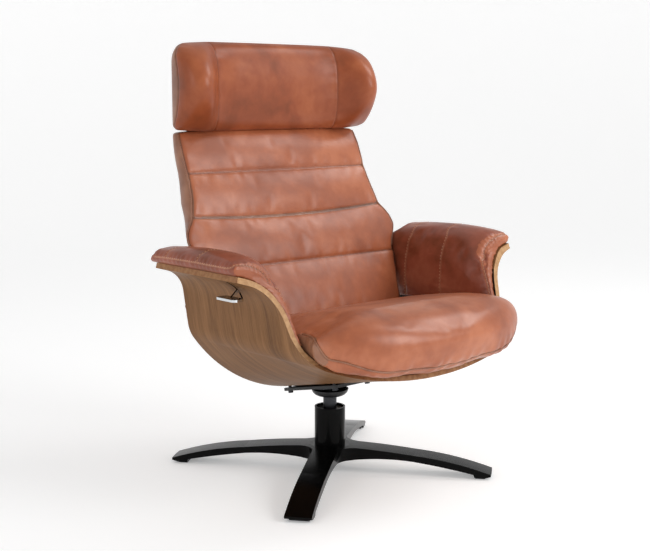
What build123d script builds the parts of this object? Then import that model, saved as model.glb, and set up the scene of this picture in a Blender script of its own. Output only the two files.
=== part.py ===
"""Star base swivel recliner: a moulded plywood tub on a four-arm star base, with leather
arm pads, a gliding seat, a reclining channelled back and a winged, tilting headrest.

Millimetres, +Z up, -Y to the front of the chair, +X to the right in a front view.
The origin is on the floor, on the swivel axis.
"""

import os
from math import cos, hypot, pi, radians, sin, sqrt, tan

from build123d import *

os.makedirs("parts", exist_ok=True)

# ------------------------------------------------------------ clearances
soft_gap = 0.3  # between soft or curved pieces and what carries them
run_gap = 0.05  # radial clearance of a running fit

# ------------------------------------------------------------ star base
base_turn = 38.0  # angle of one arm from +X, the others follow every 90 degrees
arm_count = 4
arm_reach = 385.0  # from the swivel axis to an arm's end
arm_width = 60.0
arm_root_fillet = 42.0
foot_run = 27.0  # the foot's flat length, from inner end to outer end
toe_run = 13.0  # from the foot's flat to the arm's end
hub_r = 47.0
hub_top_z = 62.0
hub_bottom_z = 31.0
arm_mid_r, arm_mid_top_z, arm_mid_bottom_z = 204.0, 49.5, 34.5
arm_end_top_z, arm_end_bottom_z = 13.0, 5.0
foot_flat_r = arm_reach - toe_run
foot_inner_r = foot_flat_r - foot_run  # the arm's foot begins here and runs to its end
glide_r = foot_flat_r - foot_run / 2 + 0.5  # from the swivel axis to the middle of a glide
glide_width, glide_length, glide_t = 44.0, 22.0, 6.0

# ------------------------------------------------------------ column and swivel
column_r = 36.4
column_wall = 4.0
column_top_z = 153.0
column_socket_z = 44.0  # bottom of the socket in the hub
plug_t = 12.0
bolt_r = 6.0
bolt_head_r, bolt_head_t = 9.5, 7.5
washer_r, washer_t = 14.0, 2.5
spindle_r = 16.0
bush_t = 30.0
upper_bush_drop = 5.0  # the bush lies this far below the column's rim
thrust_t = 4.0
bowl_top_r, bowl_bottom_r = 44.0, 25.0
bowl_bottom_z, bowl_height = 179.5, 16.0
bowl_wall = 3.0
flange_r, flange_t = 36.0, 5.0
plate_t = 7.0
plate_half, plate_rear, plate_front = 61.0, 103.0, -90.0
plate_bolt_r, plate_bolt_head_r, plate_bolt_head_t = 4.0, 6.5, 6.0
plate_bolt_x, plate_bolt_rear, plate_bolt_front = 51.0, 88.0, -74.0
spacer_r, spacer_low = 9.0, 16.6

# ------------------------------------------------------------ plywood tub
tilt = 12.4  # the tub's floor rises this much to the front
ply = 12.0
tub_rear_y = 97.0
tub_front_y = -341.0
seat_half = 308.0  # half width of the seat in front of the arm pads; walls, arms and pads follow it
loft_rear_y, loft_front_y = 127.0, -401.0  # the tub's faces are ruled between these depths
floor_rear_z = 188.0  # outer face of the floor at its rear edge
floor_r_rear, floor_r_front = seat_half + 142.0, seat_half + 842.0
corner_r_rear, corner_r_front = 80.0, 65.0
wall_lean_rear, wall_lean_front = 8.7, 12.5
wall_x_rear, wall_x_front = seat_half + 29.0, seat_half + 9.0  # the wall's outer face at wall_z
wall_z = 377.0
flare_r_rear, flare_r_front = 58.0, 110.0
lip_rise = 16.0  # the lip's slope outwards
lip_x, lip_z = seat_half + 75.0, 503.0  # a point of the lip's under face
lip_tip_x = seat_half + 112.0
reach_x, reach_z = lip_tip_x + 40.0, lip_z + 197.0  # beyond the chair's sides and above its arms
# side view of the front edge, from the floor up to the lip: (y, z)
edge_floor, edge_floor_mid, edge_corner = (tub_front_y, 285.0), (-333.0, 307.0), (-310.5, 329.0)
edge_low_mid, edge_wall = (-269.5, 362.5), (-243.0, 398.0)
edge_wall_mid, edge_flare = (-229.0, 437.0), (-213.0, 474.0)
edge_lip_mid, edge_lip = (-203.0, 497.0), (-190.0, 517.0)

# ------------------------------------------------------------ arm pads
pad_low_z = 377.0
pad_inner_low, pad_inner_high = (seat_half - 9.5, pad_low_z), (seat_half - 5.0, 505.0)
pad_shoulder_mid, pad_shoulder = (seat_half + 6.0, 538.0), (seat_half + 34.0, 558.0)
pad_crown_mid, pad_crown = (seat_half + 64.0, 566.0), (seat_half + 96.0, 562.0)
pad_tip_mid, pad_tip_top = (seat_half + 112.0, 555.0), (seat_half + 118.0, 542.0)
pad_tip_low = (seat_half + 115.0, 529.0)
pad_rear_y = 100.0
# depth of a section, drop of its crown there
pad_stations = (
    (pad_rear_y, 7.0), (40.0, 3.0), (-50.0, 0.0), (-140.0, 1.0), (-195.0, 7.0), (-245.0, 17.0),
    (-300.0, 25.0),
)
pad_tip_drop = 0.3  # the outer tip drops by this share
pad_edge_setback = 2.0  # the leather's front edge lies behind the plywood's

# ------------------------------------------------------------ seat
frame_rise = 25.0  # from the floor's outer face to the cross bars' under side
bar_front, bar_w, bar_t = -215.0, 20.0, 4.0  # along the tub's slope
rail_x, rail_w, rail_h = 100.0, 10.0, 10.0
rail_rear, rail_front = 98.0, -250.0
runner_t, runner_leg = 3.0, 6.0
runner_rear, runner_front = 5.0, -225.0
board_t, board_half = 12.0, 145.0
board_rear, board_front = 8.0, -285.0
seat_waist = seat_half - 11.0  # half width between the arm pads
seat_bulge_y = -280.0  # in front of this the cushion swells past the pads
seat_rear_y, seat_rear_z, seat_rear_drop = 22.0, 379.0, 33.0
seat_nose_y, seat_nose_run = -402.0, 100.0  # on the centre line, and its run back to the side
seat_nose_z, seat_nose_lift = 368.0, 6.0
seat_crown_y, seat_crown_z, seat_crown_drop = -300.0, 441.0, 49.0
seat_seam_y, seat_seam_back = -350.0, 34.0
seat_belly_run = 72.0  # behind the front seam the underside drops from the board to the roll
seat_roll_run = 22.0
seat_floor_gap, seat_wall_gap = 5.0, 2.0
seat_stations = tuple(seat_half * f for f in (0.0, 0.227, 0.4545, 0.65, 0.789, 0.893, 0.964, 1.0))

# ------------------------------------------------------------ back
pivot_y, pivot_z = 86.0, 443.0
pivot_r = 7.0
pivot_bush_wall = 3.0
block_inner_x = seat_half - 4.0
block_y0, block_y1, block_z0, block_z1 = 68.0, 96.0, 424.0, 457.0
side_plate_x, side_plate_t = 256.0, 6.0
tube_y, tube_z, tube_r, tube_wall = 55.0, 326.0, 11.0, 2.0
fork_x, fork_t, fork_prong = 140.0, 6.0, 12.0
fork_slot = 27.0
fork_top_z = 350.0
back_bottom_z, back_top_z = 356.0, 796.0
plate_end_z, plate_end_in, plate_bar_r = 600.0, 28.0, 16.0  # the side plates' upper ends
back_lean = 0.42  # run of the front surface per unit of height
back_top_front_y, back_datum_z = 214.0, 800.0  # the front's seam line passes here
back_bend_z, back_taper_z = 640.0, 760.0  # the rear is straight up to the bend, then thins
seam_z = (back_bottom_z, 495.0, 612.0, 707.0, back_top_z)
seam_crown, channel_crown, seam_pull = 3.0, 17.0, 2.5
# half widths and side depths against height; the ears rest behind the arm pads
back_width = (
    (356.0, 266.0), (420.0, 275.0), (456.0, 284.0), (495.0, 296.0), (524.0, 302.0), (542.0, 319.0),
    (558.0, 330.0), (576.0, 328.0), (592.0, 316.0), (612.0, 296.0), (650.0, 281.0), (685.0, 276.0),
    (750.0, 275.0), (796.0, 273.0),
)
back_depth = (
    (back_bottom_z, 54.0), (back_bend_z, 56.0), (seam_z[3], 52.0), (back_taper_z, 42.0), (back_top_z, 34.0),
)
back_rear_half = 284.0
panel_half, panel_t, panel_margin = 236.0, 10.0, 22.0

# ------------------------------------------------------------ headrest
hinge_y, hinge_z = 227.0, 813.0
hinge_x, hinge_pin_r, hinge_boss_r = 110.0, 3.0, 7.0
strap_w, strap_t = 26.0, 5.0
strap_low_z, strap_knee_z = 700.0, 780.0
strap_low_in, strap_knee_in = 22.0, 15.0  # behind the back's seam line
cheek_gap, cheek_t, lug_t = 1.0, 4.0, 4.0
lug_top_z, web_low_z = 870.0, 826.0
hinge_room = 7.0  # either side of a strap
headrest_bottom_z, headrest_top_z = 803.0, 1004.0
headrest_half = 272.0
nose_mid_y, nose_bow, wing_x, wing_reach = 186.0, 8.0, 150.0, 72.0
wing_end_x, wing_end_round = 262.0, 18.0  # the wing's nose turns back beyond this
headrest_rear_y, headrest_rear_bow = 243.0, 8.0
end_drop, end_drop_x = 19.0, 236.0  # the outline's corners
headrest_stations = (0.0, 55.0, 110.0, 150.0, 185.0, 213.0, 236.0, 253.0, 265.0, headrest_half)
board_y, headboard_t, headboard_half = 228.0, 6.0, 190.0
headboard_low_z, headboard_top_z = 833.0, 960.0

# ------------------------------------------------------------ release lever and gas spring
lever_y, lever_z = -48.0, 483.0  # its pivot
lever_arm_r = 66.0
slot_w, slot_swing = 6.0, 18.0
stem_w, stem_h = 4.4, 8.0
lever_arm_x, lever_arm_t = seat_half + 10.0, 4.0
lever_boss_r, lever_pin_r = 10.0, 4.0
stem_bend_x = seat_half + 52.0
paddle_inner_x, paddle_outer_x = seat_half + 60.0, seat_half + 90.0
paddle_y0, paddle_y1, paddle_z, paddle_t = -150.0, -86.0, 466.0, 5.0
cylinder_r, cylinder_bore_r, rod_r = 11.0, 8.0, 4.0
cylinder_rise = 28.0
cylinder_rear, cylinder_front = 55.0, -85.0
rod_bracket_at, bracket_t, bracket_w = -140.0, 5.0, 30.0
piston_t = 8.0


# ------------------------------------------------------------ shared helpers
def cross(y):
    """Plane across the chair at depth y: local x is X, local y is Z."""
    return Plane(origin=(0, y, 0), x_dir=(1, 0, 0), z_dir=(0, -1, 0))


def side(x):
    """Plane along the chair at x: local x is Y, local y is Z."""
    return Plane(origin=(x, 0, 0), x_dir=(0, 1, 0), z_dir=(1, 0, 0))


def ends(path):
    """The point in which each step of a path ends."""
    return [step[-1] if isinstance(step[0], tuple) else step for step in path]


def turned(path):
    """The same path walked from its other end."""
    stops = ends(path)
    back = [stops[-1]]
    for step, stop in zip(path[:0:-1], stops[-2::-1]):
        back.append((step[0], stop) if isinstance(step[0], tuple) else stop)
    return back


def mirrored(path):
    """The same path on the other side of the chair."""
    return [
        tuple((-p[0], p[1]) for p in step) if isinstance(step[0], tuple) else (-step[0], step[1])
        for step in path
    ]


def face(plane, path):
    """Closed face: a step is a point, reached straight, or (through, to), reached by an arc."""
    stops = ends(path)
    edges = []
    for here, step, there in zip(stops, path[1:], stops[1:]):
        if isinstance(step[0], tuple):
            edges.append(ThreePointArc(here, step[0], there))
        else:
            edges.append(Line(here, there))
    if hypot(stops[-1][0] - stops[0][0], stops[-1][1] - stops[0][1]) > 1e-6:
        edges.append(Line(stops[-1], stops[0]))
    return plane * make_face(edges)


def block(x0, x1, y0, y1, z0, z1):
    """Box between two corners."""
    return Pos((x0 + x1) / 2, (y0 + y1) / 2, (z0 + z1) / 2) * Box(x1 - x0, y1 - y0, z1 - z0)


def rod_x(x0, x1, y, z, r):
    """Round bar along X."""
    return Pos((x0 + x1) / 2, y, z) * Rot(0, 90, 0) * Cylinder(r, x1 - x0)


def both_sides(piece):
    """A piece and its mirror image, as one compound."""
    return Compound(children=[*piece.solids(), *mirror(piece, about=Plane.YZ).solids()])


def table(rows, at):
    """Value at `at` on straight lines between the rows (position, value)."""
    for (a, va), (b, vb) in zip(rows, rows[1:]):
        if at <= b:
            return va + (vb - va) * (at - a) / (b - a)
    return rows[-1][1]


def save(name, piece):
    export_step(piece, f"parts/{name}.step")


# ------------------------------------------------------------ tub geometry
rise = radians(lip_rise)
up_from_lip = (-sin(rise), cos(rise))
lip_d = up_from_lip[0] * lip_x + up_from_lip[1] * lip_z
slope = tan(radians(tilt))
origin_rise = floor_rear_z + tub_rear_y * slope  # height of the floor on the swivel axis
tub = Plane(
    origin=(0, 0, origin_rise),
    x_dir=(1, 0, 0),
    z_dir=(0, sin(radians(tilt)), cos(radians(tilt))),
)


def along(y, rear, front):
    """A size that changes evenly from the tub's rear edge to its front edge."""
    return rear + (front - rear) * (tub_rear_y - y) / (tub_rear_y - tub_front_y)


def floor_z(y):
    """Outer face of the tub's floor on the centre line."""
    return floor_rear_z + (tub_rear_y - y) * slope


def wall(y):
    """Outward direction of the right wall at depth y, and its distance that way."""
    lean = radians(along(y, wall_lean_rear, wall_lean_front))
    nx, nz = cos(lean), -sin(lean)
    return (nx, nz), nx * along(y, wall_x_rear, wall_x_front) + nz * wall_z


def flare_centre(y):
    """Centre of the flare's arcs, one radius outside the wall and one below the lip."""
    r = along(y, flare_r_rear, flare_r_front)
    (nx, nz), d = wall(y)
    a, b = d + r, lip_d - r
    mx, mz = up_from_lip
    det = nx * mz - nz * mx
    return (a * mz - b * nz) / det, (nx * b - mx * a) / det


def corner(y):
    """Centre of the corner between floor arc and wall, and the direction in which they meet."""
    big, small = along(y, floor_r_rear, floor_r_front), along(y, corner_r_rear, corner_r_front)
    (nx, nz), d = wall(y)
    ux, uz = -nz, nx
    centre_z = floor_z(y) + big
    qx, qz = (d - small) * nx, (d - small) * nz - centre_z
    q_u = qx * ux + qz * uz
    run = -q_u - sqrt(q_u**2 - qx**2 - qz**2 + (big - small) ** 2)
    cx, cz = qx + run * ux, qz + centre_z + run * uz
    return (cx, cz), (cx / (big - small), (cz - centre_z) / (big - small))


def tub_half(y, inset):
    """Right half of the tub's section, from the end of the floor's arc to the lip's tip."""
    big = along(y, floor_r_rear, floor_r_front)
    r = along(y, corner_r_rear, corner_r_front) - inset
    (cx, cz), (dx, dz) = corner(y)
    (nx, nz), _ = wall(y)
    mx, mz = dx + nx, dz + nz
    m = hypot(mx, mz)
    fx, fz = flare_centre(y)
    lx, lz = up_from_lip
    hx, hz = lx - nx, lz - nz
    h = hypot(hx, hz)
    bend = along(y, flare_r_rear, flare_r_front) + inset
    tip_run = (lip_tip_x - lip_x) / cos(rise)
    tip = (lip_x + tip_run * cos(rise) + inset * lx, lip_z + tip_run * sin(rise) + inset * lz)
    return [
        (dx * (big - inset), floor_z(y) + big + dz * (big - inset)),
        ((cx + r * mx / m, cz + r * mz / m), (cx + r * nx, cz + r * nz)),
        (fx - bend * nx, fz - bend * nz),
        ((fx + bend * hx / h, fz + bend * hz / h), (fx + bend * lx, fz + bend * lz)),
        tip,
    ]


def tub_section(y):
    """Whole section of the tub, one ply thickness wide."""
    outer, inner = tub_half(y, 0), tub_half(y, ply)
    path = turned(mirrored(outer))
    path += [((0, floor_z(y)), outer[0])] + outer[1:]
    path += turned(inner)
    path += [((0, floor_z(y) + ply), (-inner[0][0], inner[0][1]))] + mirrored(inner)[1:]
    return face(cross(y), path)


def behind_front_edge(setback, rear_y):
    """Everything behind the front edge's side view, back to rear_y."""
    def back(p):
        return (p[0] + setback, p[1])

    low = 100.0
    path = [
        (rear_y, low),
        (tub_front_y + setback, low),
        back(edge_floor),
        (back(edge_floor_mid), back(edge_corner)),
        (back(edge_low_mid), back(edge_wall)),
        (back(edge_wall_mid), back(edge_flare)),
        (back(edge_lip_mid), back(edge_lip)),
        (edge_lip[0] + setback, reach_z),
        (rear_y, reach_z),
    ]
    return extrude(face(side(-reach_x), path), amount=2 * reach_x)


def inner_floor_z(x, y):
    """Inner face of the tub's floor and corner at (x, y)."""
    (cx, cz), (dx, _) = corner(y)
    r = along(y, floor_r_rear, floor_r_front) - ply
    if x <= dx * r:
        return floor_z(y) + ply + r - sqrt(r**2 - x**2)
    r = along(y, corner_r_rear, corner_r_front) - ply
    return cz - sqrt(max(r**2 - (x - cx) ** 2, 0))


def inside(gap):
    """Everything above the tub's inner face, a gap away from it."""
    def section(y):
        right = tub_half(y, ply + gap)
        right += [(reach_x, right[-1][1]), (reach_x, reach_z)]
        path = turned(mirrored(right))
        return face(cross(y), path + [((0, floor_z(y) + ply + gap), right[0])] + right[1:])

    return loft([section(loft_rear_y), section(loft_front_y)], ruled=True)


def lever_slot(width, swing):
    """Curved slot about the lever's pivot, through the left wall."""
    a = radians(swing)
    r0, r1 = lever_arm_r - width / 2, lever_arm_r + width / 2

    def at(r, angle):
        return (lever_y - r * cos(angle), lever_z + r * sin(angle))

    path = [at(r0, -a), (at(r0, 0), at(r0, a)), at(r1, a), (at(r1, 0), at(r1, -a))]
    return extrude(face(side(-lip_tip_x), path), amount=lip_tip_x - lever_arm_x)


def plywood_shell():
    """Bent plywood tub with its front edge cut, holes for the plate's bolts and the lever's slot."""
    rough = loft([tub_section(loft_rear_y), tub_section(loft_front_y)], ruled=True)
    shell = rough & behind_front_edge(0, tub_rear_y)
    for x, y in plate_holes():
        shell -= tub * Pos(x, y, 0) * Cylinder(plate_bolt_r + 0.5, 60)
    return shell - lever_slot(slot_w, slot_swing)


# ------------------------------------------------------------ star base and column
def arm_profile():
    """Side view of an arm from the axis to its end, to be turned about Z: (r, z)."""
    foot_top = arm_end_bottom_z + glide_t
    return face(
        Plane.XZ,
        [
            (0, hub_bottom_z),
            (hub_r + 18, hub_bottom_z),
            ((arm_mid_r / 2 + 30, arm_mid_bottom_z + 2.5), (arm_mid_r, arm_mid_bottom_z)),
            ((arm_mid_r + 80, arm_mid_bottom_z - 12), (foot_inner_r, foot_top)),
            (foot_inner_r + 2, glide_t - 2),
            (foot_flat_r, glide_t - 2),
            (arm_reach, arm_end_bottom_z + 3),
            (arm_reach, arm_end_top_z),
            ((arm_mid_r + 90, arm_mid_top_z - 12.5), (arm_mid_r, arm_mid_top_z)),
            ((arm_mid_r / 2 + 20, (hub_top_z + arm_mid_top_z) / 2 + 2), (hub_r, hub_top_z)),
            (0, hub_top_z),
        ],
    )


def star_plan():
    """Plan of the crossed arms, with round inner corners."""
    bar = Rectangle(2 * arm_reach, arm_width)
    plan = bar + Rot(0, 0, 90) * bar
    near = [v for v in plan.vertices() if hypot(v.X, v.Y) < arm_width]
    return Rot(0, 0, base_turn) * fillet(near, arm_root_fillet)


def star_base():
    """Cast star: the plan's prism cut by the turned side view, with the column's socket."""
    star = extrude(star_plan(), amount=hub_top_z + 10) & revolve(arm_profile(), Axis.Z)
    star -= Pos(0, 0, column_socket_z + 50) * Cylinder(column_r + run_gap, 100)
    star -= Pos(0, 0, column_socket_z) * Cylinder(bolt_r + 0.5, 100)
    for i in range(arm_count):
        star -= glide(i, 0.1)
    return star


def glide(i, gap):
    """Felt-faced glide under arm i."""
    size = (glide_length + 2 * gap, glide_width + 2 * gap, glide_t)
    return Rot(0, 0, base_turn + 90 * i) * Pos(glide_r, 0, glide_t / 2) * Box(*size)


def floor_glides():
    return Compound(children=[glide(i, 0).solid() for i in range(arm_count)])


def column_tube():
    """Steel column tube, open at the top."""
    height = column_top_z - column_socket_z
    tube = Cylinder(column_r, height) - Cylinder(column_r - column_wall, height)
    return Pos(0, 0, column_socket_z + height / 2) * tube


def column_plug():
    """Threaded plug welded into the foot of the column."""
    plug = Cylinder(column_r - column_wall - soft_gap, plug_t) - Cylinder(bolt_r, plug_t)
    return Pos(0, 0, column_socket_z + plug_t / 2) * plug


def column_bolt():
    """Hexagon bolt from below, through the hub into the plug."""
    head_z = hub_bottom_z - washer_t
    shank = plug_t + column_socket_z - head_z - 1
    head = extrude(RegularPolygon(bolt_head_r, 6), amount=-bolt_head_t)
    return Pos(0, 0, head_z) * (head + Pos(0, 0, shank / 2) * Cylinder(bolt_r - run_gap, shank))


def column_washer():
    ring = Cylinder(washer_r, washer_t) - Cylinder(bolt_r + 0.3, washer_t)
    return Pos(0, 0, hub_bottom_z - washer_t / 2) * ring


def swivel_bush(z):
    """Plastic bush between column and spindle, from z downwards."""
    ring = Cylinder(column_r - column_wall - soft_gap, bush_t) - Cylinder(spindle_r + run_gap, bush_t)
    return Pos(0, 0, z - bush_t / 2) * ring


def spindle_bottom_z():
    return column_socket_z + plug_t + thrust_t


def thrust_washer():
    disc = Cylinder(spindle_r + 6, thrust_t)
    return Pos(0, 0, column_socket_z + plug_t + thrust_t / 2) * disc


def swivel_spindle():
    """Turned spindle, its top cut to the tub's slope and welded to a round flange."""
    length = origin_rise - spindle_bottom_z() + 20
    shaft = Pos(0, 0, spindle_bottom_z() + length / 2) * Cylinder(spindle_r, length)
    top = -soft_gap - plate_t - 0.02
    flange = tub * Pos(0, 0, top - flange_t / 2) * Cylinder(flange_r, flange_t)
    above = tub * Pos(0, 0, top + 50) * Box(200, 200, 100)
    return (shaft - above) + flange


def swivel_bowl():
    """Pressed bowl that hides the flange, open at the top, with a hole for the spindle."""
    z0, z1 = bowl_bottom_z, bowl_bottom_z + bowl_height
    mid = (bowl_top_r - 5, z0 + bowl_height * 0.36)
    inner_mid = (mid[0] - bowl_wall, mid[1] + bowl_wall * 0.6)
    profile = face(
        Plane.XZ,
        [
            (spindle_r + soft_gap, z0),
            (bowl_bottom_r, z0),
            (mid, (bowl_top_r, z1)),
            (bowl_top_r - bowl_wall, z1),
            (inner_mid, (bowl_bottom_r, z0 + bowl_wall)),
            (spindle_r + soft_gap, z0 + bowl_wall),
        ],
    )
    bowl = revolve(profile, Axis.Z)
    clear = tub * Pos(0, 0, -soft_gap - plate_t - 0.3 + 50) * Box(200, 200, 100)
    return bowl - clear


# ------------------------------------------------------------ mounting plate and seat frame
def plate_holes():
    return [(x, y) for x in (-plate_bolt_x, plate_bolt_x) for y in (plate_bolt_rear, plate_bolt_front)]


def mounting_plate():
    """Steel plate under the tub, with four bolt holes."""
    size = (2 * plate_half, plate_rear - plate_front, plate_t)
    plate = Pos(0, (plate_rear + plate_front) / 2, -soft_gap - plate_t / 2) * Box(*size)
    plate = fillet(plate.edges().filter_by(Axis.Z), 6)
    for x, y in plate_holes():
        plate -= Pos(x, y, 0) * Cylinder(plate_bolt_r + 0.4, 60)
    return tub * plate


def plate_bolts():
    """Four bolts up through plate, tub and spacers into the seat frame's cross bars."""
    under = -soft_gap - plate_t
    top = frame_rise + bar_t
    one = Pos(0, 0, (under + top) / 2) * Cylinder(plate_bolt_r, top - under)
    one += Pos(0, 0, under) * extrude(RegularPolygon(plate_bolt_head_r, 6), amount=-plate_bolt_head_t)
    return Compound(children=[(tub * Pos(x, y, 0) * one).solid() for x, y in plate_holes()])


def frame_spacers():
    """Four tubes between the tub's floor and the cross bars."""
    rings = []
    for x, y in plate_holes():
        h = frame_rise - spacer_low
        ring = Cylinder(spacer_r, h) - Cylinder(plate_bolt_r + 0.2, h)
        rings.append((tub * Pos(x, y, spacer_low + h / 2) * ring).solid())
    return Compound(children=rings)


def cross_bars():
    """Bars across the tub under the rails; the middle one stops either side of the gas spring."""
    bars = Part()
    for y in (plate_bolt_rear, plate_bolt_front, bar_front):
        bars += block(-rail_x, rail_x, y - bar_w / 2, y + bar_w / 2, frame_rise, frame_rise + bar_t)
    bars -= Pos(0, plate_bolt_front, frame_rise) * Box(2 * cylinder_r + 4, 2 * bar_w, 40)
    for x, y in plate_holes():
        bars -= Pos(x, y, 0) * Cylinder(plate_bolt_r + run_gap, 200)
    return tub * bars


def seat_rails():
    """Two rails along the tub's slope, on the cross bars."""
    low = frame_rise + bar_t
    rail = tub * block(rail_x - rail_w / 2, rail_x + rail_w / 2, rail_front, rail_rear, low, low + rail_h)
    return both_sides(rail)


# ------------------------------------------------------------ seat
def seat_runners():
    """Two channels that ride on the rails."""
    w = rail_w / 2 + soft_gap
    top = board_low() - runner_t
    one = block(-w - runner_t, w + runner_t, runner_front, runner_rear, top - runner_leg, board_low())
    one -= block(-w, w, runner_front - 1, runner_rear + 1, 0, top)
    return Compound(children=[(tub * Pos(x, 0, 0) * one).solid() for x in (-rail_x, rail_x)])


def board_low():
    """Under side of the seat's board, above rails and runners."""
    return frame_rise + bar_t + rail_h + soft_gap + runner_t


def seat_board():
    return tub * block(-board_half, board_half, board_front, board_rear, board_low(), board_low() + board_t)


def under_seat_z(y):
    """Height of the board's upper face, where the cushion lies."""
    up = board_low() + board_t + soft_gap
    return origin_rise + (up - y * sin(radians(tilt))) / cos(radians(tilt))


def seat_side(x):
    """Side view of the cushion at x: underside, front roll, waterfall, crown and rear."""
    def low(y, margin):
        return max(under_seat_z(y) if x <= board_half else 0, inner_floor_z(x, y) + margin)

    u = x / seat_half
    nose_y = seat_nose_y + seat_nose_run * (1 - (1 - u**3) ** 0.74)
    nose_z = seat_nose_z + seat_nose_lift * u**2
    crown = (seat_crown_y, seat_crown_z - seat_crown_drop * u**8)
    rear_top = (seat_rear_y, seat_rear_z - seat_rear_drop * u**8)
    seam_y = max(seat_seam_y, nose_y + seat_seam_back)
    belly_y, roll_y = seam_y + seat_belly_run, seam_y + seat_roll_run
    seam = (seam_y, inner_floor_z(x, seam_y) + seat_wall_gap)
    under_nose = ((seam[0] + nose_y) / 2 - 8, (seam[1] + nose_z) / 2 - 8)
    over_nose = (nose_y + (crown[0] - nose_y) * 0.26, nose_z + (crown[1] - nose_z) * 0.72)
    top_mid = ((rear_top[0] + crown[0]) / 2, (rear_top[1] + crown[1]) / 2 + 7)
    return [
        (seat_rear_y, low(seat_rear_y, seat_floor_gap)),
        (belly_y, low(belly_y, seat_floor_gap)),
        (roll_y, inner_floor_z(x, roll_y) + seat_floor_gap - 1.5),
        seam,
        (under_nose, (nose_y, nose_z)),
        (over_nose, crown),
        (top_mid, rear_top),
    ]


def seat_outline():
    """Upright prism round the cushion: narrow between the arm pads, wide in front of them."""
    path = [(0, seat_rear_y + 10), (seat_waist, seat_rear_y + 10), (seat_waist, seat_bulge_y)]
    path += [(seat_half + 5, seat_bulge_y - 5), (seat_half + 5, seat_nose_y - 20)]
    path += turned(mirrored(path))
    return extrude(face(Plane.XY, path), amount=600)


def seat_cushion():
    """Crowned cushion with a rounded front roll, lofted from side to side, hollow over its board."""
    faces = [face(side(-x), seat_side(x)) for x in seat_stations[:0:-1]]
    faces += [face(side(x), seat_side(x)) for x in seat_stations]
    cushion = loft(faces) & seat_outline()
    cushion -= behind_front_edge(-seat_wall_gap, seat_rear_y + 50) - inside(seat_wall_gap)
    w, top = board_half + 5, board_low() + board_t + soft_gap
    return cushion - tub * block(-w, w, board_front - 5, board_rear + 60, -40, top)


def drive_forks():
    """Two upright forks behind the board that take the back's drive tube."""
    mid = tube_y - 0.7
    y0, y1 = mid - fork_slot / 2 - fork_prong, mid + fork_slot / 2 + fork_prong
    slot_low = tube_z - tube_r - 1.5
    low = origin_rise + (board_low() - 4 - y0 * sin(radians(tilt))) / cos(radians(tilt))
    path = [
        (y0, low),
        (y1, low - 4),
        (y1, fork_top_z),
        (y1 - fork_prong, fork_top_z),
        (y1 - fork_prong, slot_low + fork_slot / 2),
        ((mid, slot_low), (y0 + fork_prong, slot_low + fork_slot / 2)),
        (y0 + fork_prong, fork_top_z),
        (y0, fork_top_z),
    ]
    upright = extrude(face(side(fork_x - fork_t / 2), path), amount=fork_t)
    foot = tub * block(fork_x - 9, fork_x + 5, -40, y1 - 14, board_low() - 4, board_low())
    foot -= block(0, 400, y1, 400, 0, 600)
    return both_sides(upright + foot)


# ------------------------------------------------------------ back
def front_y(z):
    """Seam line of the back's front, before its crown."""
    return back_top_front_y - (back_datum_z - z) * back_lean


def back_section(z, puff):
    """Plan of the back at height z: flat rear, sides drawn in, crowned front."""
    half = table(back_width, z) - seam_pull * (1 - puff)
    rear = min(half, back_rear_half) - 5
    y0, y1 = front_y(z) + seam_pull * (1 - puff), front_y(z) + table(back_depth, z)
    crown = seam_crown + (channel_crown - seam_crown) * puff
    middle = ((rear + half) / 2 + 5, (y0 + y1) / 2)
    path = [
        (-rear, y1),
        (rear, y1),
        (middle, (half, y0)),
        ((0, y0 - crown), (-half, y0)),
        ((-middle[0], middle[1]), (-rear, y1)),
    ]
    return face(Plane.XY.offset(z), path)


def back_channel(z0, z1):
    """One puffed channel between two seams."""
    steps = (0.0, 0.1, 0.25, 0.4, 0.55, 0.7, 0.85, 1.0)
    return loft([back_section(z0 + (z1 - z0) * t, max(0, sin(pi * t)) ** 0.6) for t in steps])


def link(a, b, r):
    """Outline of a flat link with round ends about a and b."""
    d = hypot(b[0] - a[0], b[1] - a[1])
    ux, uz = (b[0] - a[0]) * r / d, (b[1] - a[1]) * r / d
    return [
        (a[0] - uz, a[1] + ux),
        (b[0] - uz, b[1] + ux),
        ((b[0] + ux, b[1] + uz), (b[0] + uz, b[1] - ux)),
        (a[0] + uz, a[1] - ux),
        ((a[0] - ux, a[1] - uz), (a[0] - uz, a[1] + ux)),
    ]


def side_plate(grow):
    """Right side plate: up along the back from the pivot, and down to the drive tube."""
    r, pivot = plate_bar_r + grow, (pivot_y, pivot_z)
    upper = (front_y(plate_end_z) + plate_end_in, plate_end_z)
    at = side(side_plate_x - grow)
    plate = extrude(face(at, link(pivot, upper, r)), amount=side_plate_t + 2 * grow)
    return plate + extrude(face(at, link(pivot, (tube_y, tube_z), r)), amount=side_plate_t + 2 * grow)


def back_side_plates():
    """Steel plates inside the back's sides, with holes for the drive tube."""
    plate = side_plate(0) - rod_x(200, 400, tube_y, tube_z, tube_r + run_gap)
    return both_sides(plate - rod_x(200, 400, pivot_y, pivot_z, pivot_r + run_gap))


def back_pivot_pins():
    """Stub axles from the side plates out into the pivot blocks."""
    pin = rod_x(side_plate_x - 4, block_inner_x + 22, pivot_y, pivot_z, pivot_r)
    collar = rod_x(side_plate_x - 4, side_plate_x - soft_gap, pivot_y, pivot_z, pivot_r + 4)
    return both_sides(pin + collar)


def drive_tube():
    """Cross tube at the foot of the back."""
    end = side_plate_x + side_plate_t
    return rod_x(-end, end, tube_y, tube_z, tube_r) - rod_x(-end, end, tube_y, tube_z, tube_r - tube_wall)


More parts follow.
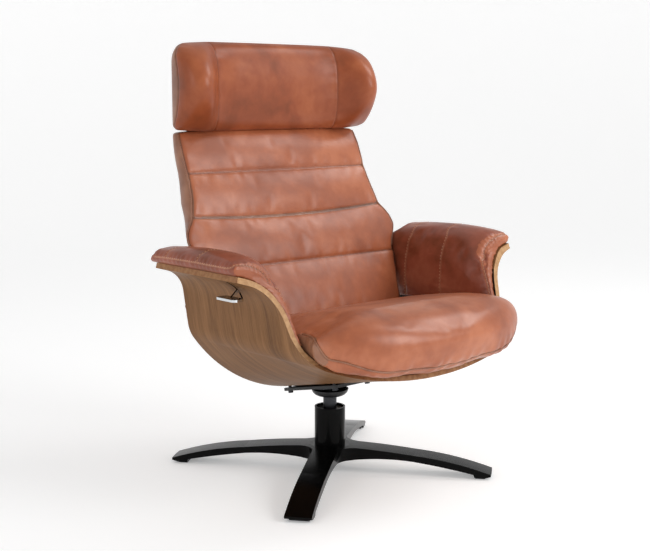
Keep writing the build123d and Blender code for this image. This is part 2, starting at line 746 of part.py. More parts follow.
def back_cushion():
    """Four puffed channels, with pockets for the side plates, their pins and the straps."""
    body = back_channel(seam_z[0], seam_z[1])
    for z0, z1 in zip(seam_z[1:], seam_z[2:]):
        body += back_channel(z0, z1)
    pocket = side_plate(0.5)
    pocket += rod_x(side_plate_x - 5, seat_half + 20, pivot_y, pivot_z, pivot_r + 5)
    body -= pocket
    body -= mirror(pocket, about=Plane.YZ)
    body -= headrest_strap(soft_gap)
    body -= mirror(headrest_strap(soft_gap), about=Plane.YZ)
    return body


def rear_y(z):
    return front_y(z) + table(back_depth, z)


def back_panel():
    """Leather-covered board that closes the back's rear, bent where the back thins."""
    low, high = back_bottom_z + panel_margin, back_top_z - panel_margin
    levels = (low, back_bend_z, seam_z[3], back_taper_z, high)
    path = [(rear_y(z) + soft_gap, z) for z in reversed(levels)]
    path += [(rear_y(z) + soft_gap + panel_t, z) for z in levels]
    return extrude(face(side(-panel_half), path), amount=2 * panel_half)


def back_pivot_blocks():
    """Blocks on the tub's inner walls that carry the back's pivots."""
    bulk = block(block_inner_x, reach_x, block_y0, block_y1, block_z0, block_z1) & inside(soft_gap)
    bore = rod_x(block_inner_x - 1, block_inner_x + 24, pivot_y, pivot_z, pivot_r + pivot_bush_wall)
    return both_sides(bulk - bore)


def back_pivot_bushes():
    x0, x1 = block_inner_x, block_inner_x + 23
    bush = rod_x(x0, x1, pivot_y, pivot_z, pivot_r + pivot_bush_wall - 0.02)
    return both_sides(bush - rod_x(x0, x1, pivot_y, pivot_z, pivot_r + run_gap))


# ------------------------------------------------------------ headrest
def headrest_side(x):
    """Side view of the headrest at x: flat rear, rounded nose that reaches forward at the wings."""
    u = x / headrest_half
    nose_y = nose_mid_y - nose_bow * u**2
    nose_y -= wing_reach * min(max(0, (x - wing_x) / (wing_end_x - wing_x)) ** 2, 1.0)
    nose_y += wing_end_round * max(0, (x - wing_end_x) / (headrest_half - wing_end_x)) ** 2
    rear = headrest_rear_y - headrest_rear_bow * u**4
    drop = 3 * u**4 + end_drop * max(0, (x - end_drop_x) / (headrest_half - end_drop_x)) ** 2
    z0, z1 = headrest_bottom_z + drop, headrest_top_z - drop
    zm = (z0 + z1) / 2
    round_y = rear - 12
    depth = round_y - 10 - nose_y
    return [
        (rear, z0 + 14),
        (rear, z1 - 14),
        ((rear - 4, z1 - 4), (round_y, z1)),
        (round_y - 10, z1),
        ((nose_y + depth * 0.26, z1 - (z1 - zm) * 0.24), (nose_y, zm)),
        ((nose_y + depth * 0.26, z0 + (zm - z0) * 0.24), (round_y - 10, z0)),
        (round_y, z0),
        ((rear - 4, z0 + 4), (rear, z0 + 14)),
    ]


def hinge_pocket(x):
    """Room in the headrest for one strap's end and its hinge."""
    w, g = strap_w / 2 + hinge_room, soft_gap
    front, low = hinge_y - hinge_boss_r - 4, headrest_bottom_z - 10
    pocket = block(x - w, x + w, front, board_y + headboard_t, low, hinge_z + hinge_boss_r + 3)
    return pocket + block(x - w, x + w, board_y - lug_t - 2, board_y + g, low, lug_top_z + 3)


def headrest_cushion():
    """Winged cushion lofted from side to side, with pockets for its board and hinges."""
    faces = [face(side(-x), headrest_side(x)) for x in headrest_stations[:0:-1]]
    faces += [face(side(x), headrest_side(x)) for x in headrest_stations]
    w, g = headboard_half + soft_gap, soft_gap
    body = loft(faces)
    body -= block(-w, w, board_y - g, board_y + headboard_t + g, headboard_low_z - g, headboard_top_z + g)
    return body - hinge_pocket(-hinge_x) - hinge_pocket(hinge_x)


def headrest_board():
    """Board inside the headrest that carries its hinges."""
    w = headboard_half
    return block(-w, w, board_y, board_y + headboard_t, headboard_low_z, headboard_top_z)


def headrest_strap(gap):
    """Right strap, from the back up to the headrest's hinge, with a boss round the pin."""
    w, t = strap_w / 2 + gap, strap_t / 2 + gap
    low_y = front_y(strap_low_z) + strap_low_in
    knee_y = front_y(strap_knee_z) + strap_knee_in
    path = [
        (low_y - t, strap_low_z - gap),
        (low_y + t, strap_low_z - gap),
        (knee_y + t, strap_knee_z),
        (hinge_y + t, hinge_z),
        (hinge_y - t, hinge_z),
        (knee_y - t, strap_knee_z),
    ]
    strap = extrude(face(side(hinge_x - w), path), amount=2 * w)
    return strap + rod_x(hinge_x - w, hinge_x + w, hinge_y, hinge_z, hinge_boss_r + gap)


def headrest_straps():
    strap = headrest_strap(0) - rod_x(0, 300, hinge_y, hinge_z, hinge_pin_r + run_gap)
    return both_sides(strap)


def headrest_hinges():
    """Forked brackets on the headrest's board, each with a cheek either side of its strap."""
    near = strap_w / 2 + cheek_gap
    far = near + cheek_t
    y0, y1 = board_y - lug_t - soft_gap, board_y - soft_gap
    fork = block(hinge_x - far, hinge_x + far, y0, y1, web_low_z, lug_top_z)
    for x0, x1 in ((hinge_x - far, hinge_x - near), (hinge_x + near, hinge_x + far)):
        fork += rod_x(x0, x1, hinge_y, hinge_z, hinge_boss_r)
        fork += block(x0, x1, y0, y1, hinge_z, lug_top_z)
    return both_sides(fork - rod_x(0, 300, hinge_y, hinge_z, hinge_pin_r - 0.02))


def hinge_pins():
    w = strap_w / 2 + cheek_gap + cheek_t
    return both_sides(rod_x(hinge_x - w, hinge_x + w, hinge_y, hinge_z, hinge_pin_r - 0.03))


# ------------------------------------------------------------ arm pads
def pad_section(y, drop):
    """Section of the right arm pad: along the plywood outside, crowned over the lip."""
    skin = tub_half(y, ply - 2)

    def down(p, share=1.0):
        return (p[0], p[1] - drop * share)

    path = [(skin[2][0] + (pad_low_z - skin[2][1]) * 0.2, pad_low_z), *skin[2:]]
    path += [
        pad_tip_low,
        down(pad_tip_top, pad_tip_drop),
        (down(pad_tip_mid, pad_tip_drop * 1.5), down(pad_crown)),
        (down(pad_crown_mid), down(pad_shoulder)),
        (down(pad_shoulder_mid), down(pad_inner_high)),
        pad_inner_low,
    ]
    return face(cross(y), path)


def arm_pad():
    """Right arm pad against the plywood, its front edge cut like the plywood's."""
    body = loft([pad_section(y, drop) for y, drop in pad_stations])
    body &= inside(soft_gap)
    body &= behind_front_edge(pad_edge_setback, pad_rear_y + 50)
    notch = block(
        block_inner_x - soft_gap, wall_x_rear, block_y0 - soft_gap, pad_rear_y + 10,
        block_z0 - soft_gap, block_z1 + soft_gap,
    )
    return body - notch - rod_x(pad_inner_low[0] - 5, block_inner_x, pivot_y, pivot_z, pivot_r + soft_gap)


def lever_pocket():
    """Room behind the left arm pad for the lever's bracket and arm."""
    x0 = lever_arm_x - 10
    return block(-lip_tip_x, -x0, lever_y - lever_arm_r - 13, lever_y + 40, lever_z - 58, lever_z + 26)


# ------------------------------------------------------------ lever
def lever_arm():
    """Arm behind the wall, from the pivot to the stem."""
    x0, x1 = -lever_arm_x - lever_arm_t, -lever_arm_x
    y = lever_y - lever_arm_r
    arm = rod_x(x0, x1, lever_y, lever_z, lever_boss_r)
    arm += block(x0, x1, y - stem_w / 2 - 3, lever_y, lever_z - 5, lever_z + 5)
    return arm - rod_x(x0 - 1, x1 + 1, lever_y, lever_z, lever_pin_r + run_gap)


def release_lever():
    """Bright stem through the slot, bent down to a rounded paddle."""
    y = lever_y - lever_arm_r
    top, low = lever_z + stem_h / 2, lever_z - stem_h / 2
    start = -lever_arm_x - lever_arm_t
    path = [
        (start, low),
        (start, top),
        (-stem_bend_x, top),
        (-paddle_inner_x - 10, paddle_z + paddle_t),
        (-paddle_inner_x - 10, paddle_z),
        (-stem_bend_x, low),
    ]
    stem = extrude(face(cross(y + stem_w / 2), path), amount=stem_w)
    paddle = block(-paddle_outer_x, -paddle_inner_x, paddle_y0, paddle_y1, paddle_z, paddle_z + paddle_t)
    paddle = fillet(paddle.edges().filter_by(Axis.Z), 9)
    return stem + paddle


def lever_bracket():
    """Plate on the tub's inner wall that carries the lever's pin."""
    x = lever_arm_x - 1
    plate = block(-x, -x + 5, lever_y - 30, lever_y + 30, lever_z - 53, lever_z + 16)
    foot = block(-reach_x, -x, lever_y - 30, lever_y + 30, lever_z - 53, lever_z - 41)
    return plate + (foot & inside(soft_gap)) - rod_x(-x - 1, -x + 6, lever_y, lever_z, lever_pin_r)


def lever_pin():
    x = lever_arm_x
    pin = rod_x(-x - lever_arm_t - 0.5, -x + 6, lever_y, lever_z, lever_pin_r - 0.02)
    return pin


# ------------------------------------------------------------ gas spring
def rod_along(y0, y1, r):
    """Round bar along the tub's slope, at the gas spring's height."""
    return tub * Pos(0, (y0 + y1) / 2, cylinder_rise) * Rot(90, 0, 0) * Cylinder(r, y1 - y0)


def gas_cylinder():
    body = rod_along(cylinder_front, cylinder_rear, cylinder_r)
    body -= rod_along(cylinder_front + 8, cylinder_rear - 6, cylinder_bore_r)
    return body - rod_along(cylinder_front - 1, cylinder_front + 20, rod_r + run_gap)


def gas_rod():
    """Rod and piston, fixed to the seat's bracket."""
    inner = cylinder_rear - 20
    rod = rod_along(rod_bracket_at, inner, rod_r)
    return rod + rod_along(inner - piston_t, inner, cylinder_bore_r - run_gap)


def rod_bracket():
    """Plate under the board that pulls the rod."""
    w, y1 = bracket_w / 2, rod_bracket_at
    return tub * block(-w, w, y1 - bracket_t, y1, cylinder_rise - 8, board_low())


def cylinder_bracket():
    """Angle on the rear cross bar that holds the cylinder's closed end."""
    w, low = bracket_w / 2, frame_rise + bar_t
    angle = block(-w, w, cylinder_rear, cylinder_rear + bracket_t, cylinder_rise - 9, low + bracket_t)
    angle += block(-w, w, cylinder_rear, plate_bolt_rear + bar_w / 2, low, low + bracket_t)
    return tub * angle


save("star_base", star_base())
save("floor_glides", floor_glides())
save("column_tube", column_tube())
save("column_plug", column_plug())
save("column_bolt", column_bolt())
save("column_washer", column_washer())
save("upper_swivel_bush", swivel_bush(column_top_z - upper_bush_drop))
save("lower_swivel_bush", swivel_bush(spindle_bottom_z() + bush_t + 2))
save("thrust_washer", thrust_washer())
save("swivel_spindle", swivel_spindle())
save("swivel_bowl", swivel_bowl())
save("mounting_plate", mounting_plate())
save("plate_bolts", plate_bolts())
save("frame_spacers", frame_spacers())
save("cross_bars", cross_bars())
save("seat_rails", seat_rails())
save("plywood_shell", plywood_shell())
right_pad = arm_pad()
save("arm_pad_right", right_pad)
save("arm_pad_left", mirror(right_pad, about=Plane.YZ) - lever_pocket())
save("back_pivot_blocks", back_pivot_blocks())
save("back_pivot_bushes", back_pivot_bushes())
save("lever_bracket", lever_bracket())
save("lever_pin", lever_pin())
save("lever_arm", lever_arm())
save("release_lever", release_lever())
save("cylinder_bracket", cylinder_bracket())
save("gas_cylinder", gas_cylinder())
save("gas_rod", gas_rod())
save("rod_bracket", rod_bracket())
save("seat_runners", seat_runners())
save("seat_board", seat_board())
save("seat_cushion", seat_cushion())
save("drive_forks", drive_forks())
save("back_cushion", back_cushion())
save("back_panel", back_panel())
save("back_side_plates", back_side_plates())
save("back_pivot_pins", back_pivot_pins())
save("drive_tube", drive_tube())
save("headrest_straps", headrest_straps())
save("headrest_hinges", headrest_hinges())
save("hinge_pins", hinge_pins())
save("headrest_board", headrest_board())
save("headrest_cushion", headrest_cushion())
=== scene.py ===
# %% [markdown]
# # Star base swivel recliner
# A lounge chair with a bent plywood tub, leather arm linings, a gliding seat, a channelled
# back and a winged headrest, on a gloss black four-arm base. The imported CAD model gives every
# place and size in metres, so the lesson starts by loading it as a fixed frame. The rigid
# parts keep their CAD shapes and get real finishes. The leather is rebuilt as soft surfaces.

from math import pi, radians

import bmesh
import bpy
import numpy as np
from mathutils import Matrix, Vector
from mathutils.bvhtree import BVHTree


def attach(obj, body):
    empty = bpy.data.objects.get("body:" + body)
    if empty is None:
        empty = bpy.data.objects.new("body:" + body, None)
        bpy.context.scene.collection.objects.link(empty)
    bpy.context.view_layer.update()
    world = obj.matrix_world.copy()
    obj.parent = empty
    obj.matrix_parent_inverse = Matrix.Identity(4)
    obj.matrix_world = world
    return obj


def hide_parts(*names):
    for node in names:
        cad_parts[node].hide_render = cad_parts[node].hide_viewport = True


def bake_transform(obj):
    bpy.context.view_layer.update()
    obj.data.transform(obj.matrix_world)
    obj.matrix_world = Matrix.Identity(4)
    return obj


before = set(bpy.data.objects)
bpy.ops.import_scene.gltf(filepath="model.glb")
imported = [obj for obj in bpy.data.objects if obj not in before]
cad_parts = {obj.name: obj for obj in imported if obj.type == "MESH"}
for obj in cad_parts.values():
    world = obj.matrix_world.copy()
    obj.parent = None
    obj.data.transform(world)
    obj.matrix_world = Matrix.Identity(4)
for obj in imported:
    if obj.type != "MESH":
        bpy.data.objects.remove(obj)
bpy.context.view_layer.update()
scene = bpy.context.scene
MM = 0.001

# %% [markdown]
# ## Camera
# The photograph is a product shot from the chair's front left, a little above the arms.
# The camera's place and lens come from lines of the photograph whose real sizes are known,
# so the render falls on the photograph's frame without any shift.

# %% Camera
CAMERA_AT = (-1.8590, -2.0651, 0.8832)
HEADING, PITCH = 41.7531, 8.5413
LENS_MM = 66.50

camera_data = bpy.data.cameras.new("photo_camera")
camera_data.lens = LENS_MM
camera = bpy.data.objects.new("photo_camera", camera_data)
camera.location = CAMERA_AT
camera.rotation_euler = (radians(90 - PITCH), 0, radians(-HEADING))
scene.collection.objects.link(camera)
scene.camera = camera
print("camera", CAMERA_AT, "lens", LENS_MM)

# %% [markdown]
# ## Helpers for meshes
# Every new surface is a function of two parameters, worked out as one array of points and
# handed to the mesh in one go. A closed section can be carried along a line, which gives a
# tube, a cushion or a board, and its ends are closed by smaller and smaller copies of it.


# %% Grids of points become meshes
def skin(name, points, poles=False):
    """Object from a grid (rows, columns, 3), in metres: each cell of four points is a face.
    The last column joins the first, and poles closes both end rows on their middles."""
    rows, cols = points.shape[:2]
    index = np.arange(rows * cols).reshape(rows, cols)
    beside = np.roll(index, -1, 1)
    faces = np.stack([index[:-1], beside[:-1], beside[1:], index[1:]], -1).reshape(-1, 4)
    verts, cells = points.reshape(-1, 3), faces.tolist()
    if poles:
        verts = np.vstack([verts, points[0].mean(0), points[-1].mean(0)])
        low, high = rows * cols, rows * cols + 1
        cells += [(low, b, a) for a, b in zip(index[0], np.roll(index[0], -1))]
        cells += [(high, a, b) for a, b in zip(index[-1], np.roll(index[-1], -1))]
    mesh = bpy.data.meshes.new(name)
    mesh.from_pydata(verts.tolist(), [], cells)
    mesh.update()
    return placed(name, mesh)


def placed(name, mesh):
    """Links a mesh into the scene as a smooth object at the origin, faces pointing outwards."""
    mesh.polygons.foreach_set("use_smooth", np.ones(len(mesh.polygons), bool))
    if signed_volume(mesh) < 0:
        mesh.flip_normals()
    piece = bpy.data.objects.new(name, mesh)
    scene.collection.objects.link(piece)
    return piece


def signed_volume(mesh):
    """Sum of the tetrahedra between the origin and each triangle: negative if inside out."""
    mesh.calc_loop_triangles()
    corners = np.zeros(len(mesh.loop_triangles) * 3, np.int32)
    mesh.loop_triangles.foreach_get("vertices", corners)
    a, b, c = points_of(mesh)[corners.reshape(-1, 3)].transpose(1, 0, 2)
    return float(np.einsum("ij,ij->i", a, np.cross(b, c)).sum() / 6)


def vectors(parts, key):
    """One vector of each vertex or face, such as co, center or normal, as an array (count, 3)."""
    values = np.zeros(len(parts) * 3, np.float32)
    parts.foreach_get(key, values)
    return values.reshape(-1, 3).astype(float)


def points_of(mesh):
    """Places of the mesh's vertices."""
    return vectors(mesh.vertices, "co")


def put_points(mesh, co):
    """Moves the mesh's vertices to the places in co."""
    mesh.vertices.foreach_set("co", co.astype(np.float32).ravel())
    mesh.update()


def ramp(value, start, stop):
    """0 before start, 1 after stop, smooth in between."""
    t = np.clip((value - start) / (stop - start), 0, 1)
    return t * t * (3 - 2 * t)


# %% Sections of straight lines and arcs
def arc(a, through, b, count):
    """Points on the circle through three points, from a up to but without b."""
    (ax, ay), (mx, my), (bx, by) = a, through, b
    d = 2 * (ax * (my - by) + mx * (by - ay) + bx * (ay - my))
    sa, sm, sb = ax * ax + ay * ay, mx * mx + my * my, bx * bx + by * by
    cx = (sa * (my - by) + sm * (by - ay) + sb * (ay - my)) / d
    cy = (sa * (bx - mx) + sm * (ax - bx) + sb * (mx - ax)) / d
    start, mid, stop = (np.arctan2(p[1] - cy, p[0] - cx) for p in (a, through, b))
    turn = (stop - start) % (2 * pi)
    if (mid - start) % (2 * pi) > turn:
        turn -= 2 * pi
    angle = start + turn * np.arange(count) / count
    r = np.hypot(ax - cx, ay - cy)
    return np.stack([cx + r * np.cos(angle), cy + r * np.sin(angle)], 1)


def section(start, steps):
    """Closed outline from a start point: a step is (count, to) or (count, through, to)."""
    runs = []
    for step in steps:
        count, stop = step[0], step[-1]
        if len(step) == 3:
            runs.append(arc(start, step[1], stop, count))
        else:
            t = np.arange(count)[:, None] / count
            runs.append(np.array(start) * (1 - t) + np.array(stop) * t)
        start = stop
    return np.vstack(runs)


def at_height(z, outline):
    """An outline of points (x, y) put at height z."""
    return np.c_[outline, np.full(len(outline), z)]


def pins(held, rings):
    """Pinned points of a closed stack: those in held, the end rings and both poles."""
    caps = np.ones(rings * held.shape[1], bool)
    return np.r_[caps, held.ravel(), caps, True, True]


def ends_closed(rows, shrink, push):
    """Adds rounded ends to a stack of sections: copies of the end sections, shrunk towards
    their middles by each factor of shrink and pushed outwards by each length of push."""
    first, last = rows[0], rows[-1]
    way = last.mean(0) - first.mean(0)
    way /= np.linalg.norm(way)
    head = [first.mean(0) + (first - first.mean(0)) * k - way * p for k, p in zip(shrink, push)]
    tail = [last.mean(0) + (last - last.mean(0)) * k + way * p for k, p in zip(shrink, push)]
    return np.stack(head[::-1] + list(rows) + tail)


# %% [markdown]
# ## Helpers for leather
# Upholstery is a skin that is held at its seams and pushed out by foam in between. So each
# cushion is first made a little flatter than it is, its seams are pinned, and a cloth
# simulation with inner pressure swells the leather between them. A small share of extra
# cloth gives the folds that run into a seam. Seam grooves and puckers are pressed in after
# that, because they are finer than the simulated mesh.


# %% Swell a cushion between its seams
PRESSURE, STIFFNESS, CLOTH_FRAMES = 4.0, 25, 18


def swollen(piece, pinned, cap, slack, bending=8):
    """Runs cloth with pressure on the piece, holding the pinned points, and caps each move.
    slack is the share of extra cloth, and bending how stiffly the leather folds."""
    rest = points_of(piece.data)
    held = piece.vertex_groups.new(name="stitched")
    held.add(np.nonzero(pinned)[0].tolist(), 1.0, "REPLACE")
    cloth = piece.modifiers.new("cloth", "CLOTH")
    settings = cloth.settings
    settings.quality, settings.mass, settings.air_damping = 5, 0.4, 2.0
    settings.tension_stiffness = settings.compression_stiffness = STIFFNESS
    settings.bending_stiffness = bending
    settings.vertex_group_mass = held.name
    settings.use_pressure, settings.uniform_pressure_force = True, PRESSURE
    settings.shrink_min = -slack
    settings.effector_weights.gravity = 0
    cloth.collision_settings.use_collision = False
    cloth.point_cache.frame_start, cloth.point_cache.frame_end = 1, CLOTH_FRAMES
    for number in range(1, CLOTH_FRAMES + 1):
        scene.frame_set(number)
    solved = piece.evaluated_get(bpy.context.evaluated_depsgraph_get()).to_mesh()
    move = points_of(solved) - rest
    piece.modifiers.remove(cloth)
    piece.vertex_groups.clear()
    scene.frame_set(1)
    length = np.linalg.norm(move, axis=1, keepdims=True)
    put_points(piece.data, rest + move * np.minimum(1, cap / np.maximum(length, 1e-9)))
    print(piece.name, "swelled by up to", round(float(length.max()) / MM, 1), "mm")


def softened(piece, passes):
    """Adds a modifier that evens out the surface in so many passes."""
    soften = piece.modifiers.new("soften", "SMOOTH")
    soften.factor, soften.iterations = 0.5, passes


def applied(piece):
    """Mesh of the piece with all its modifiers applied."""
    solved = piece.evaluated_get(bpy.context.evaluated_depsgraph_get())
    return bpy.data.meshes.new_from_object(solved)


def refined(piece, calm):
    """Evens out the swollen surface in calm passes, and divides each face in four, which
    rounds the mesh and makes room for fine seams."""
    softened(piece, calm)
    rounding = piece.modifiers.new("rounding", "SUBSURF")
    rounding.levels = rounding.render_levels = 1
    mesh = applied(piece)
    piece.modifiers.clear()
    piece.data = mesh
    mesh.polygons.foreach_set("use_smooth", np.ones(len(mesh.polygons), bool))


# %% Lines on a surface: seams, piping and stitches
def spread(points, step=2 * MM):
    """Points at even steps along a polyline."""
    points = np.asarray(points, float)
    run = np.r_[0, np.cumsum(np.linalg.norm(np.diff(points, axis=0), axis=1))]
    at = np.linspace(0, run[-1], max(2, int(run[-1] / step)))
    return np.stack([np.interp(at, run, points[:, k]) for k in range(3)], 1)


def on_surface(piece, line):
    """Drops a line onto the piece: the nearest points of its surface and their normals."""
    tree = BVHTree.FromObject(piece, bpy.context.evaluated_depsgraph_get())
    found = [tree.find_nearest(Vector(p)) for p in line]
    return np.array([f[0] for f in found]), np.array([f[1] for f in found])


def evened(line, passes=12):
    """Smooths a polyline, whose ends stay where they are."""
    for _ in range(passes):
        line[1:-1] = (line[:-2] + 2 * line[1:-1] + line[2:]) / 4
    return line


def near_line(co, line, margin=60 * MM, batch=4000):
    """Distance from each point to the line, and how far along the line that is. Only points
    within the margin are measured, in batches that fit the memory."""
    away = np.full(len(co), 1.0)
    along = np.zeros(len(co))
    close = np.nonzero(((co > line.min(0) - margin) & (co < line.max(0) + margin)).all(1))[0]
    for part in np.array_split(close, max(1, len(close) // batch)):
        gap = np.linalg.norm(co[part][:, None] - line[None], axis=2)
        nearest = gap.argmin(1)
        away[part] = gap[np.arange(len(part)), nearest]
        along[part] = nearest * np.linalg.norm(line[1] - line[0])
    return away, along


def seamed(piece, lines, depth, width, pucker, pitch=27 * MM, reach=20 * MM, tint=0.8):
    """Presses each line into the piece, with puckers that fade away from it, and writes how
    deep in a seam each point is to the attribute seam, 0 on open leather and 1 in a seam.
    The puckers follow each other at the pitch, which two slow waves keep uneven."""
    co, normal = points_of(piece.data), vectors(piece.data.vertices, "normal")
    earlier = piece.data.attributes.get("seam")
    inside = np.zeros(len(co), np.float32)
    if earlier:
        earlier.data.foreach_get("value", inside)
    for number, line in enumerate(lines):
        away, along = near_line(co, line)
        groove = np.exp(-((away / width) ** 2))
        drift = 1.7 * number + 1.3 * np.sin(along * 31) + 0.8 * np.sin(along * 73 + number)
        fold = np.sin(2 * pi * along / pitch + drift) * (1 - groove)
        fold *= np.exp(-((away / reach) ** 2))
        co -= normal * (depth * groove + pucker * fold)[:, None]
        inside = np.maximum(inside, tint * np.exp(-((away / (0.6 * width)) ** 2)))
    put_points(piece.data, co)
    mark(piece, inside)


def mark(piece, inside=0):
    """Writes how deep in a seam each point is, which the leather's material reads."""
    data = piece.data.attributes.get("seam") or piece.data.attributes.new("seam", "FLOAT", "POINT")
    data.data.foreach_set("value", np.full(len(piece.data.vertices), inside, np.float32))


def unit(ways):
    """Each row scaled to length one."""
    return ways / np.linalg.norm(ways, axis=1, keepdims=True)


def tube(name, line, up, r, sides=8):
    """Round cord of radius r along a line: a circle in the plane of up and the side way."""
    ahead = unit(np.gradient(line, axis=0))
    across = unit(np.cross(ahead, up))
    lift = np.cross(across, ahead)
    a = np.arange(sides) * 2 * pi / sides
    ring = across[:, None] * np.cos(a)[None, :, None] + lift[:, None] * np.sin(a)[None, :, None]
    return skin(name, line[:, None] + r * ring, poles=True)


STITCH, STITCH_GAP, THREAD_R = 4.5 * MM, 3.0 * MM, 0.7 * MM


def stitches(name, line, up):
    """Row of threads: each is a slim double pyramid with four sides, lying along the line."""
    steps = spread(line, STITCH + STITCH_GAP)
    ahead = unit(np.gradient(steps, axis=0))
    places, ups_at = np.linspace(0, 1, len(steps)), np.linspace(0, 1, len(up))
    lift = np.stack([np.interp(places, ups_at, up[:, k]) for k in range(3)], 1)
    across = np.cross(ahead, lift)
    ring = np.stack([across, lift, -across, -lift], 1) * THREAD_R
    verts = np.concatenate([(steps - ahead * STITCH / 2)[:, None], steps[:, None] + ring,
                            (steps + ahead * STITCH / 2)[:, None]], 1)
    one = [(0, 2, 1), (0, 3, 2), (0, 4, 3), (0, 1, 4), (5, 1, 2), (5, 2, 3), (5, 3, 4), (5, 4, 1)]
    firsts = verts.shape[1] * np.arange(len(steps))
    cells = (np.array(one)[None] + firsts[:, None, None]).reshape(-1, 3)
    mesh = bpy.data.meshes.new(name)
    mesh.from_pydata(verts.reshape(-1, 3).tolist(), [], cells.tolist())
    mesh.update()
    return placed(name, mesh)


# %% [markdown]
# ## Finishes
# One function turns the usual hex colours into the linear values that a shader wants, and one
# adds a node with its settings and links. The short ones after it name its commonest uses. A
# number that is the same all over a surface is set on the shader itself, because the export
# drops it from anywhere else.


# %% Colours and nodes
def linear(hex_code):
    """sRGB hex to linear red, green, blue and alpha."""
    part = np.array([int(hex_code[i:i + 2], 16) for i in (1, 3, 5)]) / 255
    line = np.where(part <= 0.04045, part / 12.92, ((part + 0.055) / 1.055) ** 2.4)
    return (*line.tolist(), 1.0)


def add(tree, kind, inputs=None, stops=None, **settings):
    """Adds a node. inputs gives a value or another node's output by socket, stops a ramp's."""
    new = tree.nodes.new("ShaderNode" + kind)
    for key, value in settings.items():
        setattr(new, key, value)
    for key, value in (inputs or {}).items():
        if isinstance(value, bpy.types.NodeSocket):
            tree.links.new(value, new.inputs[key])
        else:
            new.inputs[key].default_value = value
    if stops:
        marks = new.color_ramp.elements
        while len(marks) < len(stops):
            marks.new(0.5)
        for element, (place, hex_code) in zip(marks, stops):
            element.position, element.color = place, linear(hex_code)
    return new


def maths(tree, operation, *terms, **settings):
    """Output of a Math node that works on the terms, each a number or a node's output."""
    return add(tree, "Math", dict(enumerate(terms)), operation=operation, **settings).outputs[0]


def mixed(tree, share, first, second):
    """Colour that goes from first to second as share goes from 0 to 1, each hex or an output."""
    first, second = (linear(c) if isinstance(c, str) else c for c in (first, second))
    return add(tree, "Mix", {0: share, 6: first, 7: second}, data_type="RGBA").outputs[2]


def joined(tree, output, bsdf, name):
    """Links an output to the surface shader's socket of that name."""
    tree.links.new(output, bsdf.inputs[name])


def finish(name, **shader):
    """A material with its surface shader, whose constant settings are given by name."""
    material = bpy.data.materials.new(name)
    material.use_nodes = True
    bsdf = material.node_tree.nodes["Principled BSDF"]
    for key, value in shader.items():
        socket = bsdf.inputs[key.replace("_", " ").title().replace("Ior", "IOR")]
        socket.default_value = linear(value) if isinstance(value, str) else value
    return material, material.node_tree, bsdf


# %% [markdown]
# ### Pigmented leather with a waxy pull-up finish
# The hide is dyed and waxed. Its seams take a separate tone: dark on most pieces, which is painted
# shade in the seam grooves, and light on the arm pads. A large soft mottling with about nine clouds
# to the metre carries the colour, flecks of about 24 mm break it up, and shallow creases run every
# 80 mm or so. The pebble of the grain is really about 1 mm, drawn at 2.2 mm so that it shows at
# this distance. Pigmented leather has an IOR near 1.5 and a soft gloss, glossier where the wax lies
# thick.

# %% Leather
CLOUDS, FLECKS, CREASES, PEBBLES = 9, 42, 13, 450  # to the metre
DULL, GLOSSY = 0.4, 0.29


def leather(name, dark, mid, light, seam_tone="#4a2413", shine=0.45):
    """Leather in three tones, with the tone painted in its seams, which is painted shade where it
    is dark. shine is how much it reflects.
    """
    material, tree, bsdf = finish(name, ior=1.5, specular_ior_level=shine)
    where = add(tree, "TexCoord").outputs["Object"]
    cloud = add(tree, "TexNoise", {"Vector": where, "Scale": CLOUDS, "Detail": 3, "Roughness": 0.5,
                                   "Distortion": 0.4}).outputs["Fac"]
    fleck = add(tree, "TexNoise", {"Vector": where, "Scale": FLECKS, "Detail": 3,
                                   "Roughness": 0.55}).outputs["Fac"]
    weak = maths(tree, "MULTIPLY_ADD", fleck, 0.3, 0.35)
    both = maths(tree, "ADD", cloud, weak)
    span = add(tree, "MapRange", {"Value": both, "From Min": 0.75, "From Max": 1.25})
    hide = add(tree, "ValToRGB", {"Fac": span.outputs["Result"]},
               stops=[(0.15, dark), (0.5, mid), (0.9, light)])
    seam = add(tree, "Attribute", attribute_name="seam").outputs["Fac"]
    # The seam tone goes into the grooves: dark, it is painted shade; on the arm pads it is light.
    joined(tree, mixed(tree, seam, hide.outputs["Color"], seam_tone), bsdf, "Base Color")
    gloss = add(tree, "MapRange", {"Value": cloud, "From Min": 0.3, "From Max": 0.7,
                                   "To Min": DULL, "To Max": GLOSSY})
    joined(tree, gloss.outputs["Result"], bsdf, "Roughness")
    crease = add(tree, "TexNoise", {"Vector": where, "Scale": CREASES, "Detail": 2,
                                    "Distortion": 0.7}).outputs["Fac"]
    pebble = add(tree, "TexVoronoi", {"Vector": where, "Scale": PEBBLES},
                 feature="DISTANCE_TO_EDGE").outputs["Distance"]
    deep = add(tree, "Bump", {"Height": crease, "Strength": 0.1, "Distance": 7 * MM})
    fine = add(tree, "Bump", {"Height": pebble, "Normal": deep.outputs["Normal"],
                              "Strength": 0.18, "Distance": 0.5 * MM})
    joined(tree, fine.outputs["Normal"], bsdf, "Normal")
    return material


waxed_leather = leather("waxed_leather", "#924f32", "#a25a39", "#b36b49")
# The headrest's copy has darker tones and less shine, which is painted shade on the headrest.
shaded_crown_leather = leather("shaded_crown_leather", "#7f4024", "#90492a", "#a05836", shine=0.28)
gusset_leather = leather("gusset_leather", "#774b35", "#895a42", "#9a6a50")
topstitched_leather = leather("topstitched_leather", "#733820", "#8b4731", "#a05d44", "#c99272")
